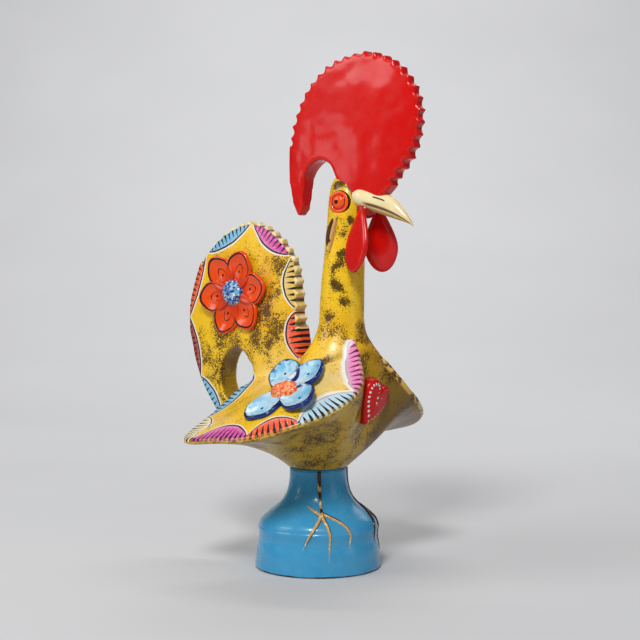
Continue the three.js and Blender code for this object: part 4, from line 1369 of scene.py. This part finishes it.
def flower_middle(radius, relief, grain):
    """The grained dome at a flower's middle."""
    turn = full_turn(72)
    rings = []
    for tilt in np.linspace(-0.25, 1, 20)[:-1]:
        rings.append(ring(radius * math.cos(tilt * math.pi / 2), turn, relief * math.sin(tilt * math.pi / 2)))
    places, faces = ring_mesh(rings, np.array([0, 0, -relief * 0.4]), np.array([0, 0, relief]))
    bumps = np.array([noise.cell(Vector(place) / grain) for place in places])
    bumps = 0.5 * bumps + 0.8 * wander(places, grain * 0.8, 5.0)
    return places + surface_normals(places, faces) * (0.28 * grain * bumps)[:, None], faces


def orange_petal_material(colours):
    """Orange petals with brushed maroon edges, a hooked loop and a dot, turning crimson towards the root as
    partly painted shade.
    """
    material, tree, shader = varnished("Orange petals", 0.2, 0.2)
    x, y, share = field(tree, "petal_place")
    paint = brushed(tree, colours.orange, colours.crimson, 0.35)["Colour"]
    # Crimson towards each petal's root: partly a gradient in the paint, partly painted shade by the flower's
    # middle.
    paint = blend(tree, band(tree, x, 0.1, -0.9, 0, 0.55), paint, colours.crimson)
    rim = times(tree, sums(tree, "SUBTRACT", share, 0.86), 14)
    half_round = band(tree, x, -0.35, 0.1)
    line = use_group(tree, "Brushed line", Away=rim, Width=1.5, Line=colours.black, Under=paint)
    paint = blend(tree, half_round, paint, line["Colour"])
    loop_x = sums(tree, "ADD", x, 0.12)
    loop = distance(tree, loop_x, times(tree, y, math.sqrt(2.2)))
    hook = use_group(
        tree, "Brushed line", Away=times(tree, sums(tree, "SUBTRACT", loop, 0.42), 14), Width=0.9,
        Line=colours.black, Under=paint,
    )
    paint = blend(tree, band(tree, x, -0.3, -0.05), paint, hook["Colour"])
    dot = band(tree, distance(tree, sums(tree, "SUBTRACT", x, -0.1), y), 0.05, 0.09, 1, 0)
    feed(tree, shader.inputs["Base Color"], blend(tree, dot, paint, colours.black))
    return material


def blue_petal_material(colours):
    """Light blue petals with broad brushed cobalt edges and a dot."""
    material, tree, shader = varnished("Blue petals", 0.2, 0.2)
    x, y, share = field(tree, "petal_place")
    pale = blend(tree, band(tree, clouds(tree, 75, 3, 0.6), 0.38, 0.66), colours.sky, colours.ice)
    pale = blend(tree, band(tree, x, 0.2, -0.8, 0, 0.5), pale, colours.white)
    ragged = sums(tree, "ADD", share, sums(tree, "MULTIPLY_ADD", clouds(tree, 150, 3), 0.5, -0.25))
    edged = blend(tree, band(tree, ragged, 0.86, 0.96), pale, colours.cobalt)
    strokes = times(tree, band(tree, share, 0.5, 0.8), band(tree, clouds(tree, 190, 3, 0.6), 0.56, 0.62))
    edged = blend(tree, times(tree, strokes, 0.7), edged, colours.cobalt)
    rim = times(tree, sums(tree, "SUBTRACT", share, 0.93), 14)
    lined = use_group(tree, "Brushed line", Away=rim, Width=1.0, Line=colours.black, Under=edged)["Colour"]
    dot = band(tree, distance(tree, sums(tree, "SUBTRACT", x, 0.15), y), 0.05, 0.09, 1, 0)
    feed(tree, shader.inputs["Base Color"], blend(tree, dot, lined, colours.black))
    return material


def grained_material(name, grounds, dot):
    """A grained flower middle in two mixed paints with a third in its hollows."""
    material, tree, shader = varnished(name, 0.3, 0.5)
    grain = clouds(tree, 520, 2)
    paint = blend(tree, band(tree, grain, 0.42, 0.55), *grounds)
    cells = clouds(tree, 430, 3, 0.7)
    feed(tree, shader.inputs["Base Color"], blend(tree, band(tree, cells, 0.56, 0.62), paint, dot))
    return material


def build_tail_flowers(sizes, colours):
    """The orange flower on each face of the tail."""
    bird = Bird(sizes)
    petals = orange_petal_material(colours)
    middle = grained_material("Blue and white grains", (colours.sky, colours.cobalt), colours.white)
    spot = bird.place([[-24.4, 0, 42.1]])
    half = slab_half(spot, TAIL_OUTLINE, TAIL_LENS, sizes.tail_thickness / MILLIMETRE, bird)[0]
    thickness = sizes.petal_thickness / MILLIMETRE
    shape, faces, flat = flower(TAIL_PETALS, bird, thickness, 1.8)
    dome, dome_faces = flower_middle(3.5 * bird.percent, 2.6 * bird.percent, 2.6)
    for side, name in ((-1, "right"), (1, "left")):
        way = np.array([1.0, 0, 0]) if side < 0 else np.array([-1.0, 0, 0])
        origin, axes = disc_frame(spot[0] + np.array([0, side * half, 0]), np.array([0.0, side, 0]), way)
        add_piece(f"{name}_tail_flower", origin + shape @ axes, faces, petals, {"petal_place": flat})
        add_piece(f"{name}_tail_flower_middle", origin + dome @ axes, dome_faces, middle)


def wing_place(bird, sizes, station, rise):
    """A place on a wing's upper face and the way out of it."""
    per = 40
    rim = rim_curve(bird, per) + np.array([0, 0, sizes.rim_thickness / MILLIMETRE / 2])
    upper = closed_curve(both_sides(STATION_UPPER), per) * bird.percent
    root = closed_curve(both_sides([(0, 0, -value) for value in STATION_ROOT]), per) * bird.percent
    up, forward, length, width = NECK_SECTIONS[0]

    def at(spot, share):
        """One place on the upper face."""
        index = int(round(spot * per))
        near = min(index / per, 2 * LAST_STATION - index / per)
        angle = math.radians(np.interp(near, range(LAST_STATION + 1), STATION_ANGLES))
        angle *= -1 if index / per <= LAST_STATION else 1
        neck = bird.place([forward + length * math.cos(angle), width * math.sin(angle), up])
        return bezier(rim[index], rim[index] + upper[index], neck + root[index], neck, share)

    point = at(station, rise)
    round_way = at(station + 0.2, rise) - at(station - 0.2, rise)
    upward = at(station, rise + 0.04) - at(station, rise - 0.04)
    outward = np.cross(upward, round_way)
    return point, outward / np.linalg.norm(outward)


def build_wing_flowers(sizes, colours):
    """The blue flower on each wing."""
    bird = Bird(sizes)
    petals = blue_petal_material(colours)
    middle = grained_material("Peach grains", (colours.peach, colours.orange), colours.cream)
    thickness = sizes.petal_thickness / MILLIMETRE
    dome, dome_faces = flower_middle(3.7 * bird.percent, 2.5 * bird.percent, 2.2)
    for name, (side, near, rise) in WING_FLOWER_PLACES.items():
        station = near if side > 0 else 2 * LAST_STATION - near
        origin, axes = disc_frame(*wing_place(bird, sizes, station, rise), np.array([1.0, 0, 0]))
        shape, faces, flat = flower(WING_PETALS, bird, thickness, 2.0, side)
        add_piece(f"{name}_wing_flower", origin + shape @ axes, faces, petals, {"petal_place": flat})
        oval = dome * np.array([1.15, 0.8, 1])
        add_piece(f"{name}_wing_flower_middle", origin + oval @ axes, dome_faces, middle)


def heart_outline(half, tall, count):
    """A heart's outline from its lower tip round its left lobe and right lobe."""
    def point(x, z):
        return np.array([x * half, z * tall])

    bends = [
        (point(0, -1), point(0.5, -0.5), point(1, -0.1), point(1, 0.45)),
        (point(1, 0.45), point(1, 1), point(0.15, 1.2), point(0, 0.55)),
        (point(0, 0.55), point(-0.15, 1.2), point(-1, 1), point(-1, 0.45)),
        (point(-1, 0.45), point(-1, -0.1), point(-0.5, -0.5), point(0, -1)),
    ]
    return np.array([bezier(*bend, share) for bend in bends for share in np.arange(count) / count])


def build_heart(sizes, colours):
    """The thick red heart on the breast, dotted with white, its side wall darkened to crimson as painted
    shade.
    """
    bird = Bird(sizes)
    outline = heart_outline(10.2 * bird.percent / 2, 11.2 * bird.percent / 2, 40)
    thick = 1.7 * bird.percent
    middle = outline.mean(axis=0)
    flat_guide = Guide(np.stack([outline[:, 0], np.zeros(len(outline)), outline[:, 1]], axis=1))
    rings, flat = [], []
    for share, rise in (
        (0.98, -1.7), (1.0, -0.9), (1.0, -0.4), (0.99, -0.1), (0.965, 0.13), (0.92, 0.27), (0.86, 0.35),
        (0.75, 0.41), (0.6, 0.45), (0.45, 0.48), (0.25, 0.5), (0.1, 0.51),
    ):
        ring = middle + (outline - middle) * share
        rings.append(np.stack([ring[:, 0], np.full(len(ring), thick * rise), ring[:, 1]], axis=1))
        flat.append(np.stack([ring[:, 0], np.zeros(len(ring)), ring[:, 1]], axis=1))
    caps = [np.array([middle[0], thick * -1.7, middle[1]]), np.array([middle[0], thick * 0.51, middle[1]])]
    shape, faces = ring_mesh(rings, *caps)
    flat = np.vstack(flat + [np.array([[middle[0], 0, middle[1]]] * 2)])
    run, inward, _ = flat_guide.measure(flat)
    seen_side = smooth_step(1, -3, flat[:, 0])
    from_notch = np.hypot(flat[:, 0], flat[:, 2] - 0.55 * outline[:, 1].max())
    radius = (0.5 + 0.7 * seen_side) * smooth_step(3, 5, from_notch)
    fields = {
        "heart_place": np.stack([run, inward, shape[:, 1] / thick], axis=1),
        "heart_dots": np.stack([radius, 2.4 + 1.0 * seen_side, 0 * run], axis=1),
    }

    lean, tilt = math.radians(-24), math.radians(12)
    x, y, z = shape.T
    turned_x = x * math.cos(lean) - z * math.sin(lean)
    turned_z = x * math.sin(lean) + z * math.cos(lean)
    forward = y * math.cos(tilt) + turned_z * math.sin(tilt) - turned_x ** 2 / 200
    up = turned_z * math.cos(tilt) - y * math.sin(tilt)
    places = np.stack([forward, turned_x, up], axis=1) + bird.place([17.5, -0.5, 16.6])

    material, tree, shader = varnished("Dotted red", 0.3, 0.2)
    shader.inputs["Coat Roughness"].default_value = 0.25
    shader.inputs["Specular IOR Level"].default_value = 0.12
    run, inward, rise = field(tree, "heart_place")
    paint = brushed(tree, colours.red, colours.crimson, 0.2)["Colour"]
    # Painted shade: the side wall darkened to crimson.
    side = blend(tree, band(tree, rise, 0.1, -0.3, 0, 0.85), paint, colours.crimson)
    pitch = 4.2
    radius, depth, _ = field(tree, "heart_dots")
    across = sums(tree, "SUBTRACT", sums(tree, "FRACT", sums(tree, "DIVIDE", run, pitch)), 0.5)
    across = times(tree, across, pitch)
    down = sums(tree, "SUBTRACT", inward, depth)
    edge = sums(tree, "SUBTRACT", radius, distance(tree, across, down))
    dots = times(tree, band(tree, edge, -0.1, 0.2), band(tree, rise, 0.0, 0.1))
    feed(tree, shader.inputs["Base Color"], blend(tree, dots, side, colours.white))
    add_piece("heart", places, faces, material, fields)


def build_cheeks(sizes, colours):
    """Two narrow raised leaves under each eye, the one further back painted dark brown as painted shadow."""
    bird = Bird(sizes)
    up, forward, length, width = np.array(open_curve(NECK_SECTIONS, 12)).T
    leaves = []
    shades = []
    # The last value paints the leaf further back dark brown as painted shadow.
    for lead, top, bottom, shade in ((-0.1, 61.2, 52.4, 0), (0.17, 60.4, 54, 1)):
        heights = np.linspace(top, bottom, 30)
        ahead = math.radians(97) + lead + 0.3 * np.linspace(-0.5, 0.5, 30)
        place = np.stack([
            np.interp(heights, up, forward) + np.interp(heights, up, length) * np.cos(ahead),
            -np.interp(heights, up, width) * np.sin(ahead),
            heights,
        ], axis=1)
        path = bird.place(place)
        outward = np.stack([np.cos(ahead), -np.sin(ahead), 0 * ahead], axis=1)
        full = np.sin(math.pi * np.linspace(0.04, 0.97, len(path))) ** 0.6
        right = swept_ridge(path, outward, 3.8, 2.6, full)
        leaves += [right, other_side(*right)]
        shades += [np.full(2 * len(right[0]), float(shade))]
    places, faces = joined(leaves)
    shade = np.concatenate(shades)
    material, tree, shader = varnished("Bronze leaves", 0.25, 0.2)
    shaded_leaf, _, _ = field(tree, "leaf_shade")
    # Brown over the leaf in painted shadow, and in patches at random.
    brown_marked = sums(tree, "MAXIMUM", shaded_leaf, band(tree, clouds(tree, 210, 3), 0.56, 0.66))
    feed(tree, shader.inputs["Base Color"], blend(tree, brown_marked, colours.gold, colours.brown))
    fields = {"leaf_shade": np.stack([shade, shade, shade], axis=1)}
    add_piece("cheek_leaves", places, faces, material, fields)


def area_lamp(name, place, aim, power, size, colour=(1, 1, 1)):
    """A soft rectangular lamp that looks at a point."""
    lamp = bpy.data.lights.new(name, "AREA")
    lamp.energy = power
    lamp.shape = "RECTANGLE"
    lamp.size, lamp.size_y = size
    lamp.color = colour
    holder = bpy.data.objects.new(name, lamp)
    holder.location = place
    holder.rotation_euler = (Vector(aim) - Vector(place)).to_track_quat("-Z", "Y").to_euler()
    bpy.context.scene.collection.objects.link(holder)
    return holder


def build_stage(stage):
    """Pale floor, soft lamps and the camera."""
    scene = bpy.context.scene
    scene.view_settings.view_transform = "Standard"
    world = bpy.data.worlds.new("Studio")
    world.use_nodes = True
    world.node_tree.nodes["Background"].inputs["Color"].default_value = (0.75, 0.78, 0.82, 1)
    world.node_tree.nodes["Background"].inputs["Strength"].default_value = 0.14
    scene.world = world

    mesh = bpy.data.meshes.new("floor")
    reach, back, bend = 4.0, 0.9, 2.4
    rising = np.linspace(0, math.pi / 2, 16)
    side = [(-reach, 0.0)]
    side += [(back + bend * math.sin(turn), bend - bend * math.cos(turn)) for turn in rising]
    side += [(back + bend, 5.0)]
    turn = stage.azimuth
    rows = []
    for across in (-1.5, 1.5):
        for along, up in side:
            rows.append((-math.sin(turn) * along + math.cos(turn) * across,
                         math.cos(turn) * along + math.sin(turn) * across, up))
    count = len(side)
    mesh.from_pydata(rows, [], [(i, i + 1, count + i + 1, count + i) for i in range(count - 1)])
    mesh.shade_smooth()
    floor = bpy.data.objects.new("floor", mesh)
    scene.collection.objects.link(floor)
    paint = bpy.data.materials.new("Pale paper")
    paint.use_nodes = True
    tree = paint.node_tree
    shader = tree.nodes["Principled BSDF"]
    shader.inputs["Roughness"].default_value = 0.7
    soft = band(tree, clouds(tree, 3, 2), 0.3, 0.7)
    darker = tuple(value * 0.97 for value in stage.floor_colour)
    feed(tree, shader.inputs["Base Color"], blend(tree, soft, stage.floor_colour, darker))
    mesh.materials.append(paint)

    def seen(right, toward, up):
        """A place given from the camera's side: to its right, towards it and up."""
        return (
            math.cos(turn) * right + math.sin(turn) * toward,
            math.sin(turn) * right - math.cos(turn) * toward,
            up,
        )

    aim = (0, 0, 0.22)
    power = stage.light
    area_lamp("key_lamp", seen(-0.25, 1.15, 1.3), aim, 19 * power, (0.35, 0.35))
    area_lamp("side_lamp", seen(-1.15, 0.28, 0.95), aim, 5 * power, (0.6, 0.6))
    area_lamp("low_side_lamp", seen(-1.15, 0.25, 0.34), aim, 0.4 * power, (0.22, 0.22))
    area_lamp("fill_lamp", seen(1.1, 0.6, 0.5), aim, 1.2 * power, (0.5, 0.9))
    area_lamp("rim_lamp", seen(0.6, -1.0, 0.8), aim, 1.2 * power, (0.5, 0.5))
    area_lamp("backdrop_lamp", seen(0, -0.9, 2.2), seen(0, -3.0, 0.6), 48 * power, (1.5, 1.0))

    camera = bpy.data.cameras.new("camera")
    camera.lens = stage.lens
    camera.sensor_width = 36
    camera.clip_start = 0.01
    holder = bpy.data.objects.new("camera", camera)
    holder.location = seen(0, stage.distance, stage.height)
    ahead = Vector((0, 0, stage.aim_height)) - holder.location
    holder.rotation_euler = ahead.to_track_quat("-Z", "Y").to_euler()
    camera.shift_x = 0.003
    scene.collection.objects.link(holder)
    scene.camera = holder


def build_paint_groups():
    """The shader node groups that the paints share."""
    build_sponge_group()
    build_fan_group()
    build_brush_group()
    build_surface_group()
    build_outline_group()


class RoosterOperator:
    """What the figurine's operators share."""

    bl_options = {"REGISTER", "UNDO"}

    def build(self, sizes, colours):
        """Builds the operator's piece."""
        raise NotImplementedError

    def execute(self, context):
        """Builds the piece with the scene's own sizes and colours."""
        self.build(context.scene.rooster_sizes, context.scene.rooster_colours)
        return {"FINISHED"}


class ROOSTER_OT_paints(RoosterOperator, bpy.types.Operator):
    """Make the shared paint effects"""

    bl_idname = "rooster.paints"
    bl_label = "Paint effects"

    def build(self, sizes, colours):
        build_paint_groups()


class ROOSTER_OT_pedestal(RoosterOperator, bpy.types.Operator):
    """Add the bell-shaped pedestal"""

    bl_idname = "rooster.pedestal"
    bl_label = "Pedestal"

    def build(self, sizes, colours):
        build_pedestal(sizes, colours)


class ROOSTER_OT_feet(RoosterOperator, bpy.types.Operator):
    """Add the raised legs and toes"""

    bl_idname = "rooster.feet"
    bl_label = "Legs and toes"

    def build(self, sizes, colours):
        build_feet(sizes, colours)


class ROOSTER_OT_body(RoosterOperator, bpy.types.Operator):
    """Add the body, wings, neck, head and tail"""

    bl_idname = "rooster.body"
    bl_label = "Body and tail"

    def build(self, sizes, colours):
        build_body(sizes, colours)


class ROOSTER_OT_comb(RoosterOperator, bpy.types.Operator):
    """Add the toothed comb"""

    bl_idname = "rooster.comb"
    bl_label = "Comb"

    def build(self, sizes, colours):
        build_comb(sizes, colours)


class ROOSTER_OT_head(RoosterOperator, bpy.types.Operator):
    """Add the beak, throat, eyes, cheek leaves and wattles"""

    bl_idname = "rooster.head"
    bl_label = "Beak, eyes and wattles"

    def build(self, sizes, colours):
        build_beak(sizes, colours)
        build_throat(sizes, colours)
        build_eyes(sizes, colours)
        build_cheeks(sizes, colours)
        build_wattles(sizes, colours)


class ROOSTER_OT_flowers(RoosterOperator, bpy.types.Operator):
    """Add the clay flowers on the tail and wings"""

    bl_idname = "rooster.flowers"
    bl_label = "Clay flowers"

    def build(self, sizes, colours):
        build_tail_flowers(sizes, colours)
        build_wing_flowers(sizes, colours)


class ROOSTER_OT_heart(RoosterOperator, bpy.types.Operator):
    """Add the dotted heart on the breast"""

    bl_idname = "rooster.heart"
    bl_label = "Heart"

    def build(self, sizes, colours):
        build_heart(sizes, colours)


class ROOSTER_OT_stage(bpy.types.Operator):
    """Add the floor, lamps and camera"""

    bl_idname = "rooster.stage"
    bl_label = "Stage"

    def execute(self, context):
        """Builds the stage with the scene's own settings."""
        build_stage(context.scene.rooster_stage)
        return {"FINISHED"}


OPERATORS = (
    ROOSTER_OT_paints, ROOSTER_OT_pedestal, ROOSTER_OT_feet, ROOSTER_OT_body, ROOSTER_OT_comb,
    ROOSTER_OT_head, ROOSTER_OT_flowers, ROOSTER_OT_heart, ROOSTER_OT_stage,
)


class ROOSTER_PT_panel(bpy.types.Panel):
    """Sidebar panel that lists the figurine's sizes, colours and steps"""

    bl_idname = "ROOSTER_PT_panel"
    bl_label = "Painted Clay Rooster"
    bl_space_type = "VIEW_3D"
    bl_region_type = "UI"
    bl_category = "Rooster"

    def draw(self, context):
        """Lists every setting and every step."""
        for settings in (
            context.scene.rooster_sizes, context.scene.rooster_colours, context.scene.rooster_stage,
        ):
            box = self.layout.box()
            for name in settings.bl_rna.properties.keys():
                if name not in {"rna_type", "name"}:
                    box.prop(settings, name)
        for operator in OPERATORS:
            self.layout.operator(operator.bl_idname)


CLASSES = (RoosterSizes, RoosterColours, RoosterStage, *OPERATORS, ROOSTER_PT_panel)


def register():
    """Registers the settings, steps and panel."""
    for item in CLASSES:
        bpy.utils.register_class(item)
    bpy.types.Scene.rooster_sizes = bpy.props.PointerProperty(type=RoosterSizes)
    bpy.types.Scene.rooster_colours = bpy.props.PointerProperty(type=RoosterColours)
    bpy.types.Scene.rooster_stage = bpy.props.PointerProperty(type=RoosterStage)


def unregister():
    """Removes the settings, steps and panel."""
    del bpy.types.Scene.rooster_stage
    del bpy.types.Scene.rooster_colours
    del bpy.types.Scene.rooster_sizes
    for item in reversed(CLASSES):
        bpy.utils.unregister_class(item)


def main():
    """Builds every piece in order."""
    register()
    bpy.ops.rooster.paints()
    bpy.ops.rooster.pedestal()
    bpy.ops.rooster.feet()
    bpy.ops.rooster.body()
    bpy.ops.rooster.comb()
    bpy.ops.rooster.head()
    bpy.ops.rooster.flowers()
    bpy.ops.rooster.heart()
    bpy.ops.rooster.stage()


if __name__ == "__main__":
    main()
